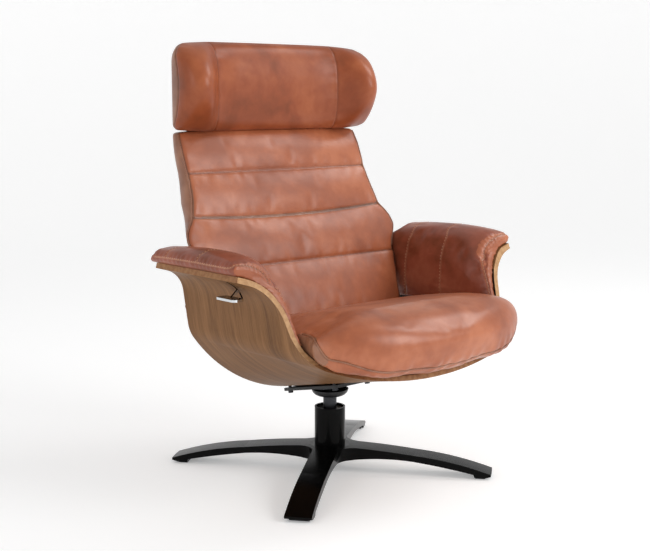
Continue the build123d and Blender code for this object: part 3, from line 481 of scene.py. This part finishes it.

# %% [markdown]
# ### Walnut veneer on birch ply
# The tub is bent from thin layers of birch with a walnut veneer outside. Its grain runs
# round the tub, so the streaks change quickly along the chair and hardly at all across it.
# The cut edge shows the pale layers. It is found by the way its faces point on the tub: to the
# front or rear, or sideways at the tips of the arms' lips. It is painted darker low down, under the
# seat, and at the lips, as painted shade. The inside, where only a gap beside the cushions shows
# it, is painted near black as the shade in that gap, and so are the walls of the lever's slot, as
# the shade in the slot.

# %% Veneer
VENEER = [(0.34, "#5d3e24"), (0.47, "#765130"), (0.55, "#825b38"), (0.68, "#926a45")]
# Cut edge colours: the plain one, and a darker copy that is painted shade under the seat and at the
# lips.
PLAIN_CUT, SHADED_CUT = [(0.35, "#ab8159"), (0.65, "#be956b")], [(0.35, "#875b3a"), (0.65, "#9d724c")]
# Near black that is painted shade in the gap inside the tub and in the lever's slot.
GAP_SHADE = "#1d140e"
STREAKS, PORES, LAYERS = 62, 420, 110  # to the metre
ALONG_GRAIN = 0.035  # how fast the pattern changes along the grain, where across it is 1
CUT_Y, LIP_X, INSIDE_Z = 0.42, 0.7, 0.1  # least share of a face's direction along that axis
SLOT_Y, SLOT_REACH = -130 * MM, 60 * MM  # where the lever's slot lies
LIP_FROM, INSIDE_TO, LOW_TO = 410 * MM, 335 * MM, 345 * MM

walnut, tree, bsdf = finish("lacquered_walnut", ior=1.5, specular_ior_level=0.2)
sources = add(tree, "TexCoord")
where = sources.outputs["Object"]
stretch = add(tree, "Mapping", {"Vector": where, "Scale": (ALONG_GRAIN, 1, ALONG_GRAIN)}).outputs[0]
band = add(tree, "TexNoise", {"Vector": stretch, "Scale": STREAKS, "Detail": 5, "Roughness": 0.62,
                              "Distortion": 0.25})
pore = add(tree, "TexNoise", {"Vector": stretch, "Scale": PORES, "Detail": 3,
                              "Roughness": 0.7}).outputs["Fac"]
figure = maths(tree, "MULTIPLY", maths(tree, "ADD", band.outputs["Fac"], pore), 0.5)
veneer = add(tree, "ValToRGB", {"Fac": figure}, stops=VENEER)

facing = add(tree, "SeparateXYZ", {0: sources.outputs["Normal"]}).outputs
spot = add(tree, "SeparateXYZ", {0: where}).outputs
off_middle = maths(tree, "ABSOLUTE", spot["X"])
cut = maths(tree, "GREATER_THAN", maths(tree, "ABSOLUTE", facing["Y"]), CUT_Y)
by_slot = maths(tree, "COMPARE", spot["Y"], SLOT_Y, SLOT_REACH)
slot_wall = maths(tree, "MULTIPLY", cut, by_slot)
front_cut = maths(tree, "SUBTRACT", cut, by_slot, use_clamp=True)
sideways = maths(tree, "GREATER_THAN", maths(tree, "ABSOLUTE", facing["X"]), LIP_X)
lip_end = maths(tree, "MULTIPLY", sideways, maths(tree, "GREATER_THAN", off_middle, LIP_FROM))
edge = maths(tree, "MAXIMUM", front_cut, lip_end)
inside = maths(tree, "MULTIPLY", maths(tree, "GREATER_THAN", facing["Z"], INSIDE_Z),
               maths(tree, "LESS_THAN", off_middle, INSIDE_TO))
# Painted shade: the inside seen through the gap and the slot's walls are near black.
dark = maths(tree, "MAXIMUM", inside, slot_wall)
layer = add(tree, "TexNoise", {"Vector": where, "Scale": LAYERS, "Detail": 2}).outputs["Fac"]
plain_cut = add(tree, "ValToRGB", {"Fac": layer}, stops=PLAIN_CUT)
shaded_cut = add(tree, "ValToRGB", {"Fac": layer}, stops=SHADED_CUT)
# Painted shade: the cut edge is darker low down, under the seat, and at the lips.
cut_in_shade = maths(tree, "MAXIMUM", maths(tree, "LESS_THAN", spot["Z"], LOW_TO), lip_end)
ply_edge = mixed(tree, cut_in_shade, plain_cut.outputs["Color"], shaded_cut.outputs["Color"])
veneer_and_shade = mixed(tree, dark, veneer.outputs["Color"], GAP_SHADE)
joined(tree, mixed(tree, edge, veneer_and_shade, ply_edge), bsdf, "Base Color")
satin = add(tree, "MapRange", {"Value": pore, "To Min": 0.42, "To Max": 0.56})
joined(tree, satin.outputs["Result"], bsdf, "Roughness")
relief = add(tree, "Bump", {"Height": pore, "Strength": 0.12, "Distance": 0.4 * MM})
joined(tree, relief.outputs["Normal"], bsdf, "Normal")

# %% [markdown]
# ### Metals, paints and plastics
# Gloss paint is a smooth coat over black, so its highlights are sharp and its body almost black.
# Bare steel and chrome are metallic. Moulded plastic is matt. Each gets a faint unevenness in its
# roughness, as a brush, a mould or handling leaves. The lever is chrome, and its faces that point
# upwards are painted near black as a painted dark reflection, so only its lower edge is bright.

# %% Hard finishes
SMOOTHEST = 0.02
CHROME, DARK_REFLECTION = "#d8dadc", "#0b0a0a"
FACES_UP = 0.45


def hard(name, colour, rough, metallic=0.0, grain=60, uneven=0.06, ior=1.5):
    """A smooth finish whose roughness wanders a little, about every 1/grain metres."""
    material, tree, bsdf = finish(name, base_color=colour, metallic=metallic, ior=ior)
    where = add(tree, "TexCoord").outputs["Object"]
    patch = add(tree, "TexNoise", {"Vector": where, "Scale": grain, "Detail": 4}).outputs["Fac"]
    wander = add(tree, "MapRange", {"Value": patch, "To Min": max(SMOOTHEST, rough - uneven),
                                    "To Max": rough + uneven})
    joined(tree, wander.outputs["Result"], bsdf, "Roughness")
    unevenness = add(tree, "Bump", {"Height": patch, "Strength": 0.05, "Distance": 0.5 * MM})
    joined(tree, unevenness.outputs["Normal"], bsdf, "Normal")
    return material


gloss_enamel = hard("gloss_black_enamel", "#050505", 0.2, grain=9, uneven=0.03, ior=1.18)
satin_powder = hard("satin_black_powder_coat", "#17181a", 0.42, grain=700)
blackened = hard("blackened_steel", "#3c3d40", 0.35, metallic=1.0, grain=120)
zinc = hard("zinc_plated_steel", "#b4b6b8", 0.3, metallic=1.0, grain=150)
chrome = hard("polished_chrome", CHROME, 0.07, metallic=1.0, grain=40, uneven=0.02)
moulded = hard("moulded_black_nylon", "#1c1c1d", 0.5, grain=300)
felt = hard("pressed_felt", "#26262a", 0.9, grain=500)
birch = hard("sanded_birch_ply", "#c39d6d", 0.55, grain=90)
thread = hard("waxed_thread", "#d2a17d", 0.6, grain=900)

tree = chrome.node_tree
lever_facing = add(tree, "SeparateXYZ", {0: add(tree, "TexCoord").outputs["Normal"]})
lever_top = maths(tree, "GREATER_THAN", lever_facing.outputs["Z"], FACES_UP)
# Painted dark reflection: the chrome lever's faces that point upwards are near black.
lever_tone = mixed(tree, lever_top, CHROME, DARK_REFLECTION)
joined(tree, lever_tone, tree.nodes["Principled BSDF"], "Base Color")

FINISHES = {
    gloss_enamel: "star_base column_tube",
    satin_powder: "swivel_bowl mounting_plate cross_bars seat_rails seat_runners drive_forks "
                  "back_side_plates lever_bracket cylinder_bracket rod_bracket headrest_straps "
                  "headrest_hinges gas_cylinder drive_tube back_pivot_blocks",
    blackened: "swivel_spindle plate_bolts column_bolt column_washer lever_arm back_pivot_pins "
               "hinge_pins",
    zinc: "gas_rod lever_pin frame_spacers column_plug",
    moulded: "upper_swivel_bush lower_swivel_bush thrust_washer back_pivot_bushes",
    felt: "floor_glides",
    birch: "seat_board headrest_board",
    walnut: "plywood_shell",
    chrome: "release_lever",
}
for material, names in FINISHES.items():
    for name in names.split():
        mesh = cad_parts[name].data
        mesh.materials.clear()
        mesh.materials.append(material)
print("finishes given to", sum(len(n.split()) for n in FINISHES.values()), "nodes")


def dressed(piece, materials, slot, body, *nodes):
    """Gives a piece its materials and its body, and what it stands for. slot is not used."""
    for material in materials:
        piece.data.materials.append(material)
    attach(piece, body)
    if nodes:
        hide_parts(*nodes)


def piped(name, line, up, r, body):
    """Piping: a leather cord of radius r along a line, on a body."""
    cord = tube(name, line, up, r)
    mark(cord)
    dressed(cord, (gusset_leather,), "brown_leather", body)


def second_finish(piece, chosen):
    """The chosen faces take the piece's second material."""
    piece.data.polygons.foreach_set("material_index", np.asarray(chosen, np.int32))


# %% [markdown]
# ## Back cushion
# The back is one tall cushion whose front is sewn into four channels. It leans, narrows
# above the arms, and swells into ears that rest behind the arm pads. Its plan at each height
# is a flat rear, two drawn-in sides and a crowned front, and its heights are stacked up.

# %% Back cushion
SEAM_Z = (356, 495, 612, 707, 796)
BACK_WIDTH = np.array([
    (356, 266), (420, 275), (456, 284), (495, 296), (524, 304), (542, 316), (558, 322), (576, 318),
    (592, 308), (612, 293), (650, 281), (685, 276), (750, 275), (796, 273)])
BACK_DEPTH = np.array([(356, 54), (640, 56), (707, 52), (760, 42), (796, 34)])
REAR_COLS, SIDE_COLS, FRONT_COLS = 50, 8, 80
ROW_HEIGHT = 7
LEAN, FRONT_Y, FRONT_Z = 0.42, 214, 800
SEAM_INSET, FRONT_CROWN, CHANNEL_CROWN = 2.5, 3, 8
REAR_HALF, REAR_INSET = 284, 5
FOOT_Z, FOOT_EXTRA = 500, 5
SIDE_BULGE, LOW_SIDE_BULGE, LOW_SIDE_Z = 6, 13, 520
SMILE_Z, SMILE_SAG, SMILE_REACH, SMILE_HALF = 612, 12, 100, 300
CORD_R, CORD_FROM_Z = 2.2, 505


def back_front(z):
    """Depth of the front's seam line, which leans back as it rises."""
    return FRONT_Y - (FRONT_Z - z) * LEAN


def back_plan(z, puff):
    """Plan of the back at height z: flat rear, sides drawn in, front crowned by puff."""
    drawn = SEAM_INSET * (1 - puff)
    half = np.interp(z, *BACK_WIDTH.T) - drawn + FOOT_EXTRA * (z < FOOT_Z)
    rear = min(half, REAR_HALF) - REAR_INSET
    y0, y1 = back_front(z) + drawn, back_front(z) + np.interp(z, *BACK_DEPTH.T)
    side_x = (rear + half) / 2 + (LOW_SIDE_BULGE if z < LOW_SIDE_Z else SIDE_BULGE)
    side_y, crown_y = (y0 + y1) / 2, y0 - FRONT_CROWN - CHANNEL_CROWN * puff
    return at_height(z, section((-rear, y1), [
        (REAR_COLS, (rear, y1)), (SIDE_COLS, (side_x, side_y), (half, y0)),
        (FRONT_COLS, (0, crown_y), (-half, y0)), (SIDE_COLS, (-side_x, side_y), (-rear, y1))]))


heights, puffs = [], []
for z0, z1 in zip(SEAM_Z, SEAM_Z[1:]):
    rows = round((z1 - z0) / ROW_HEIGHT)
    t = np.arange(rows) / rows
    heights += list(z0 + (z1 - z0) * t)
    puffs += list(np.sin(pi * t) ** 0.6)
heights, puffs = np.array(heights + [SEAM_Z[-1]]), puffs + [0.0]
back_rows = np.stack([back_plan(z, p) for z, p in zip(heights, puffs)]) * MM
right_edge, left_edge = REAR_COLS + SIDE_COLS, REAR_COLS + SIDE_COLS + FRONT_COLS
front = slice(right_edge, left_edge + 1)
smile = np.cos(pi / 2 * np.clip((heights - SMILE_Z) / SMILE_REACH, -1, 1)) ** 2
bow = 1 - (back_rows[:, front, 0] / (SMILE_HALF * MM)) ** 2
back_rows[:, front, 2] -= SMILE_SAG * MM * smile[:, None] * bow
seam_rows = [int(np.argmin(np.abs(heights - z))) for z in SEAM_Z]
back_lines = [spread(back_rows[r, front]) for r in seam_rows[1:4]]
edge_lines = [spread(back_rows[:, c]) for c in (right_edge, left_edge)]
held = np.ones(back_rows.shape[:2], bool)
held[:, right_edge + 1:left_edge] = False
held[seam_rows] = True
BACK_SHRINK, BACK_PUSH = (0.97, 0.9, 0.7, 0.4), (3 * MM, 5 * MM, 6 * MM, 6 * MM)
back_skin = skin("back_leather", ends_closed(back_rows, BACK_SHRINK, BACK_PUSH), poles=True)
swollen(back_skin, pins(held, len(BACK_SHRINK)), cap=11 * MM, slack=0.0015)
refined(back_skin, calm=1)
seamed(back_skin, back_lines + edge_lines, depth=3.0 * MM, width=3.2 * MM, pucker=0.6 * MM,
       pitch=47 * MM)
at = vectors(back_skin.data.polygons, "center")
front_edge = np.interp(at[:, 2], heights * MM, back_rows[:, right_edge, 1])
second_finish(back_skin, at[:, 1] > front_edge + 2 * MM)
dressed(back_skin, (waxed_leather, gusset_leather), "brown_leather", "back", "back_cushion")
for side, line in zip(("right", "left"), edge_lines):
    line, up = on_surface(back_skin, line[line[:, 2] > CORD_FROM_Z * MM])
    outwards = np.sign(line[:, :1]) * (1, 0, 0) + (0, 1, 0)
    path = evened(line + (up + CORD_R * outwards) * MM)
    piped(f"back_piping_{side}", path, up, CORD_R * MM, "back")
print("back cushion", len(back_skin.data.polygons), "faces")

# %% [markdown]
# ## Headrest
# A winged roll. Its plan has a nearly flat rear and a front that reaches further forward
# towards the ends, rounds off there and runs back to the end seam. Each level of the stack
# draws the front back towards the rear, so that the side view is rounded, and takes in the
# ends, so that the corners are round. Two seams cross it.

# %% Headrest
HEAD_FRONT = [
    (0, 189), (60, 188.5), (120, 187), (150, 184.5), (180, 177.5), (192, 171), (203, 160.5),
    (215, 146), (228, 131.5), (240, 123), (252, 119.5), (264, 121), (275, 127.5), (284, 138),
    (289.5, 150), (291.5, 163), (291.5, 176), (290.5, 187)]
HEAD_END = [(288, 205), (284, 222), (275, 234), (262, 240), (150, 242.5), (0, 243)]
HEAD_Z0, HEAD_Z1, HEAD_STRIP_Y = 802, 1004, 221
HEAD_STEP, HEAD_LEVELS, TOP_LEVEL = 4.6, 39, 0.9985
WING_FROM, WING_FULL = 170, 262
TOP_SQUARENESS, LOW_SQUARENESS, WING_SQUARENESS = 2.4, 3.0, 1.7
CROSS_SEAM_X, END_SEAM_Y = 182, 186
END_FROM_X, FRONT_TO_Y, GUSSET_FROM_X = 250, 181, 200
TOP_CORNER_R, LOW_CORNER_R, CORNER_FROM_X = 43, 18, 205
HEAD_SAG, SAG_DEPTH, END_DROP = 9, 40, 3

head_half = at_height(0, np.array(HEAD_FRONT + HEAD_END, float))
head_half = evened(spread(head_half, HEAD_STEP), 4)
plan = np.vstack([head_half, (head_half[1:-1] * (-1, 1, 1))[::-1]])


def headrest_level(s):
    """Plan outline at level s, from -1 at the bottom to 1 at the top."""
    x, y = plan[:, 0], plan[:, 1]
    wing = ramp(np.abs(x), WING_FROM, WING_FULL)
    squareness = TOP_SQUARENESS if s > 0 else LOW_SQUARENESS
    squareness = squareness * (1 - wing) + WING_SQUARENESS * wing
    reach = (1 - abs(s) ** squareness) ** (1 / squareness)
    y = np.where(y < HEAD_STRIP_Y, HEAD_STRIP_Y - (HEAD_STRIP_Y - y) * reach, y)
    height, end = HEAD_Z1 - HEAD_Z0, x.max()
    r = TOP_CORNER_R if s > 0 else LOW_CORNER_R
    from_rim = (1 - abs(s)) / 2 * height
    taken_in = r - np.sqrt(r**2 - max(0, r - from_rim) ** 2)
    share = np.clip((np.abs(x) - CORNER_FROM_X) / (end - CORNER_FROM_X), 0, 1)
    z = (HEAD_Z0 + HEAD_Z1) / 2 + s * (height / 2 - END_DROP * (x / end) ** 4)
    z -= HEAD_SAG * max(0, -s) ** 2 * np.clip((HEAD_STRIP_Y - y) / SAG_DEPTH, 0, 1)
    return np.stack([x - np.sign(x) * share * taken_in, y, z], 1)


def column_near(gap, allowed):
    """Number of the plan's point with the least gap among those allowed."""
    return int(np.argmin(np.where(allowed, np.abs(gap), np.inf)))


levels = TOP_LEVEL * np.sin(pi / 2 * np.linspace(-1, 1, HEAD_LEVELS))
head_rows = np.stack([headrest_level(s) for s in levels]) * MM
plan_x, plan_y = plan[:, 0], plan[:, 1]
cross = [column_near(plan_x - x, plan_y < FRONT_TO_Y) for x in (-CROSS_SEAM_X, CROSS_SEAM_X)]
ends = [column_near(plan_y - END_SEAM_Y, plan_x * side >= END_FROM_X) for side in (-1, 1)]
held = np.zeros(head_rows.shape[:2], bool)
held[:, (plan_y >= END_SEAM_Y - 3) | (np.abs(plan_x) < CROSS_SEAM_X)] = True
held[:, cross + ends] = True
HEAD_SHRINK, HEAD_PUSH = (0.985, 0.9, 0.6), (0.8 * MM, 2 * MM, 2.5 * MM)
head_skin = skin("headrest_leather", ends_closed(head_rows, HEAD_SHRINK, HEAD_PUSH), poles=True)
swollen(head_skin, pins(held, len(HEAD_SHRINK)), cap=3 * MM, slack=0.001)
refined(head_skin, calm=2)
column = {c: on_surface(head_skin, spread(head_rows[1:-1, c]))[0] for c in cross + ends}
seamed(head_skin, [column[c] for c in cross], depth=1.5 * MM, width=2.6 * MM, pucker=0.4 * MM,
       tint=0.45)
seamed(head_skin, [column[c] for c in ends], depth=1.8 * MM, width=3.0 * MM, pucker=0.4 * MM,
       pitch=23 * MM)
at = vectors(head_skin.data.polygons, "center")
end_seam = np.interp(at[:, 2], head_rows[:, ends[0], 2], head_rows[:, ends[0], 1]) + 1 * MM
at_end = np.abs(at[:, 0]) > GUSSET_FROM_X * MM
second_finish(head_skin, at[:, 1] > np.where(at_end, end_seam, HEAD_STRIP_Y * MM))
dressed(head_skin, (shaded_crown_leather, gusset_leather), "brown_leather", "headrest", "headrest_cushion")
print("headrest", len(head_skin.data.polygons), "faces")

# %% [markdown]
# ## Seat and arm pads
# These are cut to fit the bent tub, so their fit comes from the CAD solids: each is copied,
# and a voxel remesh, which also merges its loose triangles, turns it into an even net that
# the cloth simulation can swell. The faces that rest on the tub are pinned. The arm pads'
# bores for the back's pivots are plugged first, so that no dark hole shows in the leather.


# %% Nets over CAD solids
def net(name, node, size, smooth, plug=None):
    """Even mesh over a CAD solid, with cells of the given size, its corners smoothed a little.
    A plug (x, y, z, radius, length along x) fills a bore."""
    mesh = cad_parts[node].data.copy()
    if plug:
        whole = bmesh.new()
        whole.from_mesh(mesh)
        *middle, r, length = plug
        lying = Matrix.Translation(middle) @ Matrix.Rotation(pi / 2, 4, "Y")
        bmesh.ops.create_cone(whole, cap_ends=True, segments=24, radius1=r, radius2=r,
                              depth=length, matrix=lying)
        whole.to_mesh(mesh)
        whole.free()
    piece = bpy.data.objects.new(name, mesh)
    scene.collection.objects.link(piece)
    remesh = piece.modifiers.new("net", "REMESH")
    remesh.mode, remesh.voxel_size = "VOXEL", size
    softened(piece, smooth)
    even = applied(piece)
    bpy.data.objects.remove(piece)
    even.materials.clear()
    return placed(name, even)


# %% Seat cushion
PIPING = np.array([(-236, 424), (-252, 421), (-270, 411), (-288, 399), (-304, 384), (-318, 368),
                   (-334, 356), (-352, 349), (-372, 345)])
PIPING_X = 303
SEAT_HEM = [(292, -382, 340), (270, -389, 332), (235, -392, 325), (180, -391, 317),
            (120, -388, 311), (60, -386, 308), (0, -386, 307)]
SEAT_SIDE, SEAT_REAR = 292 * MM, 12 * MM
NOSE_Y, NOSE_Z = -262 * MM, 338 * MM
OVERHANG_Y, OVERHANG_Z, OVERHANG_FADE = -336 * MM, 375 * MM, 30 * MM
DROOP_X = (80 * MM, 200 * MM)  # the overhang droops from 3 mm in the middle to 9 mm outside

seat_skin = net("seat_leather", "seat_cushion", 6 * MM, smooth=14)
co, normal = points_of(seat_skin.data), vectors(seat_skin.data.vertices, "normal")
print("seat net", len(co), "points")


def below_piping(at):
    """True on the side panels: outside the top panel's edge and under the piping's line."""
    level = np.interp(-at[:, 1], -PIPING[:, 0] * MM, PIPING[:, 1] * MM)
    return (np.abs(at[:, 0]) > SEAT_SIDE) & (at[:, 2] < level)


in_front = (co[:, 1] < NOSE_Y) & (co[:, 2] > NOSE_Z)
on_top = (normal[:, 2] > 0) & (np.abs(co[:, 0]) < SEAT_SIDE) & (co[:, 1] < SEAT_REAR)
open_part = (in_front | on_top) & ~below_piping(co)
overhang = np.clip((OVERHANG_Y - co[:, 1]) / OVERHANG_FADE, 0, 1)
overhang *= np.clip((OVERHANG_Z - co[:, 2]) / OVERHANG_FADE, 0, 1)
co[:, 2] -= (3 + 6 * ramp(np.abs(co[:, 0]), *DROOP_X)) * MM * overhang
put_points(seat_skin.data, co - normal * (3 * MM * open_part)[:, None])
swollen(seat_skin, ~open_part, cap=6 * MM, slack=0.0, bending=20)
refined(seat_skin, calm=14)
half_hem = [(PIPING_X, y, z) for y, z in PIPING] + SEAT_HEM
hem = np.array(half_hem + [(-x, y, z) for x, y, z in half_hem[-2::-1]]) * MM
hem = evened(on_surface(seat_skin, evened(spread(hem), 20))[0], 8)
seamed(seat_skin, [hem], depth=2.2 * MM, width=3.2 * MM, pucker=1.0 * MM, pitch=33 * MM,
       reach=24 * MM)
second_finish(seat_skin, below_piping(vectors(seat_skin.data.polygons, "center")))
dressed(seat_skin, (waxed_leather, gusset_leather), "brown_leather", "seat", "seat_cushion")
line, up = on_surface(seat_skin, hem)
piped("seat_piping", evened(line + up * 0.7 * MM), up, 1.8 * MM, "seat")

# %% Arm pads
LIP_EDGE = np.array([(377, -250), (398, -241), (437, -227), (474, -211), (497, -201),
                     (517, -188), (600, -186)])
BAND = np.array([
    (428, 96, 538), (428, 40, 541), (428, -50, 542), (428, -120, 541), (428, -160, 541),
    (424, -176, 545), (404, -181, 554), (372, -182, 559), (340, -182, 551), (316, -184, 532),
    (304, -194, 500), (302, -206, 474), (301, -222, 437), (299, -236, 398), (299, -240, 384)])
CROSSING_Y = ((52, 44), (-60, -76))  # over the arm, and down its inside
CROSSING_OVER = [(424, 545), (404, 566), (372, 572), (340, 562)]
CROSSING_DOWN = [(314, 540), (303, 505), (300, 440), (299, 384)]
PIVOT_PLUG = (312 * MM, 86 * MM, 443 * MM, 18 * MM, 24 * MM)
EDGE_THICKNESS, THINS_OVER = 21 * MM, 2.2
PAD_LOW_Z, PAD_TOP_Z, PAD_REAR_Y = 384 * MM, 545 * MM, 92 * MM
TAIL, TAIL_FROM_Y, PAD_END_Y = 20 * MM, 60 * MM, 98 * MM  # the pad's lower rear reaches back
TAIL_TOP_Z, TAIL_FULL_Z = 548 * MM, 528 * MM
PLYWOOD_TO_X, FRONT_FROM_Y = 415 * MM, -150 * MM
shell_tree = BVHTree.FromObject(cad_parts["plywood_shell"],
                                bpy.context.evaluated_depsgraph_get())


def rolled(at):
    """Draws points near the front edge towards the plywood, so that the pad thins out there."""
    behind = at[:, 1] - np.interp(at[:, 2], LIP_EDGE[:, 0] * MM, LIP_EDGE[:, 1] * MM)
    limit = EDGE_THICKNESS + THINS_OVER * np.maximum(behind, 0)
    near = np.array([shell_tree.find_nearest(Vector(p))[0] for p in at])
    off = at - near
    off[:, 1] = 0
    far = np.linalg.norm(off, axis=1)
    drawn = limit * np.tanh(far / limit) / np.maximum(far, 1e-6)
    return at - off * (1 - drawn)[:, None]


for side, sign in (("left", -1), ("right", 1)):
    plug = (PIVOT_PLUG[0] * sign, *PIVOT_PLUG[1:])
    pad = net(f"arm_leather_{side}", f"arm_pad_{side}", 5 * MM, smooth=6, plug=plug)
    co, normal = points_of(pad.data), vectors(pad.data.vertices, "normal")
    outward = normal[:, 0] * sign
    facing_in = (outward < 0.35) & (normal[:, 2] > -0.35) & (normal[:, 1] < 0.6)
    open_part = facing_in | ((normal[:, 2] > 0.2) & (co[:, 2] > PAD_TOP_Z))
    open_part &= (co[:, 1] < PAD_REAR_Y) & (co[:, 2] > PAD_LOW_Z)
    against = (outward > 0.3) & (normal[:, 2] < 0.3) & (co[:, 0] * sign < PLYWOOD_TO_X)
    co += normal * (1.5 * MM * against)[:, None]
    low = ramp(-co[:, 2], -TAIL_TOP_Z, -TAIL_FULL_Z)
    co[:, 1] += TAIL * ramp(co[:, 1], TAIL_FROM_Y, PAD_END_Y) * low
    co = rolled(co)
    put_points(pad.data, co - normal * (1.5 * MM * open_part)[:, None])
    swollen(pad, ~open_part, cap=6 * MM, slack=0.001)
    refined(pad, calm=2)
    mirrored = MM * np.array((sign, 1, 1))
    band = evened(on_surface(pad, rolled(spread(BAND * mirrored)))[0], 6)
    seamed(pad, [band], depth=1.6 * MM, width=2.4 * MM, pucker=0.55 * MM, pitch=15 * MM,
           reach=12 * MM, tint=0.7)
    crossing = []
    for over_y, down_y in CROSSING_Y:
        profile = [(x, over_y, z) for x, z in CROSSING_OVER]
        profile += [(x, down_y, z) for x, z in CROSSING_DOWN]
        crossing.append(evened(on_surface(pad, spread(np.array(profile) * mirrored))[0], 20))
    seamed(pad, crossing, depth=1.2 * MM, width=2.2 * MM, pucker=0.5 * MM, tint=0.6)
    # The faces that point forwards take the lighter waxed leather, which is painted light on the
    # pad's front.
    forwards = vectors(pad.data.polygons, "normal")[:, 1] < -0.62
    second_finish(pad, forwards & (vectors(pad.data.polygons, "center")[:, 1] < FRONT_FROM_Y))
    dressed(pad, (topstitched_leather, waxed_leather), "brown_leather", "tub", f"arm_pad_{side}")
    beside_seam = [(0, 0, 1.5 * MM), (0, 3 * MM, 0), (0, 3 * MM, 0)]
    for number, (line, beside) in enumerate(zip((band, *crossing), beside_seam)):
        line, up = on_surface(pad, line + beside)
        row = stitches(f"arm_stitches_{side}_{number}", line + up * 0.3 * MM, up)
        dressed(row, (thread,), "brown_leather", "tub")
    print("arm pad", side, len(pad.data.polygons), "faces")

# %% [markdown]
# ## Rear panel
# A board covered in leather closes the back's rear. It is a thin rounded plate, bent where
# the back thins.

# %% Rear panel
PANEL_HALF, PANEL_END, PANEL_T, PANEL_GAP = 232, 236, 10, 0.3
PANEL_Z0, PANEL_Z1, PANEL_ROWS = 381, 771, 60
PANEL_COLS, PANEL_END_COLS = 40, 6


def panel_plan(z):
    """Plan of the panel at height z: a flat plate with round ends."""
    y0 = back_front(z) + np.interp(z, *BACK_DEPTH.T) + PANEL_GAP
    middle, rear = y0 + PANEL_T / 2, y0 + PANEL_T
    return at_height(z, section((-PANEL_HALF, y0), [
        (PANEL_COLS, (PANEL_HALF, y0)),
        (PANEL_END_COLS, (PANEL_END, middle), (PANEL_HALF, rear)),
        (PANEL_COLS, (-PANEL_HALF, rear)),
        (PANEL_END_COLS, (-PANEL_END, middle), (-PANEL_HALF, y0))]))


panel_rows = np.stack([panel_plan(z) for z in np.linspace(PANEL_Z0, PANEL_Z1, PANEL_ROWS)]) * MM
PANEL_SHRINK, PANEL_PUSH = (0.995, 0.98, 0.6), (2 * MM, 3 * MM, 3 * MM)
panel = skin("rear_panel_leather", ends_closed(panel_rows, PANEL_SHRINK, PANEL_PUSH), poles=True)
mark(panel)
dressed(panel, (gusset_leather,), "brown_leather", "back", "back_panel")

# %% [markdown]
# ## Leather flap behind the headrest's hinges
# A strip of leather joins the back's top to the headrest and hides the hinges.

# %% Flap
FLAP_HALF, FLAP_Z0, FLAP_Z1, FLAP_Y = 232, 786, 818, 236
FLAP_BULGE, FLAP_T, FLAP_COLS, FLAP_ROWS = 3, 2, 60, 14

across = np.linspace(-FLAP_HALF, FLAP_HALF, FLAP_COLS)
rise = np.linspace(FLAP_Z0, FLAP_Z1, FLAP_ROWS)
flap_y = FLAP_Y + FLAP_BULGE * np.sin(pi * (rise - FLAP_Z0) / (FLAP_Z1 - FLAP_Z0))
face_front = np.stack(np.broadcast_arrays(across[None, :], flap_y[:, None], rise[:, None]), -1)
face_rear = face_front[:, ::-1] + (0, FLAP_T, 0)
flap = skin("headrest_flap", np.concatenate([face_front, face_rear], 1) * MM)
mark(flap)
flap.data.materials.append(gusset_leather)
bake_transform(flap)

# %% [markdown]
# ## Floor and light
# A pale studio sweep: a flat round floor whose rim curves up, so no horizon shows from any
# side. One large soft light stands high in front of the chair, to its right, which leaves the
# far arm's inside in shade. A weak one stands at its left, one hangs high at its right and
# draws the gloss along the seat's nose, and the pale sky fills the shadows.

# %% Floor and light
FLAT_R, RIM, FLAT_RINGS, RIM_RINGS, FLOOR_SIDES = 5, 2.5, 12, 15, 96

bend = np.linspace(0, pi / 2, RIM_RINGS)[1:]
radius = np.r_[np.linspace(1 * MM, FLAT_R, FLAT_RINGS), FLAT_R + RIM * np.sin(bend)]
height = np.r_[np.zeros(FLAT_RINGS), RIM * (1 - np.cos(bend))]
turn = np.arange(FLOOR_SIDES) * 2 * pi / FLOOR_SIDES
ring = np.stack([np.cos(turn), np.sin(turn), np.zeros(FLOOR_SIDES)], 1)
sweep = radius[:, None, None] * ring[None] + height[:, None, None] * np.array([0, 0, 1])
floor = skin("studio_sweep", sweep[::-1])
floor_paint = finish("matt_white_floor", base_color="#f4f4f4", roughness=0.85,
                     emission_color="#ffffff", emission_strength=0.26)[0]
floor.data.materials.append(floor_paint)


def softbox(name, at, aim, size, power):
    """Square area light at a point, turned towards its aim."""
    data = bpy.data.lights.new(name, "AREA")
    data.shape, data.size, data.energy = "SQUARE", size, power
    lamp = bpy.data.objects.new(name, data)
    lamp.location = at
    lamp.rotation_euler = (Vector(aim) - Vector(at)).to_track_quat("-Z", "Y").to_euler()
    scene.collection.objects.link(lamp)


CHAIR_MIDDLE, SEAT_NOSE = (0, -0.05, 0.5), (0, -0.3, 0.4)
SKY_STRENGTH = 0.62
softbox("key_light", (1.5, -3.1, 2.0), CHAIR_MIDDLE, 1.5, 49)
softbox("side_light", (-3.2, -0.4, 1.6), CHAIR_MIDDLE, 1.2, 9)
softbox("gloss_light", (2.1, -0.9, 2.7), SEAT_NOSE, 1.0, 19)
world = bpy.data.worlds.new("pale_sky")
world.use_nodes = True
sky = world.node_tree.nodes["Background"].inputs
sky["Color"].default_value = (1, 1, 1, 1)
sky["Strength"].default_value = SKY_STRENGTH
scene.world = world
scene.view_settings.view_transform = "Standard"
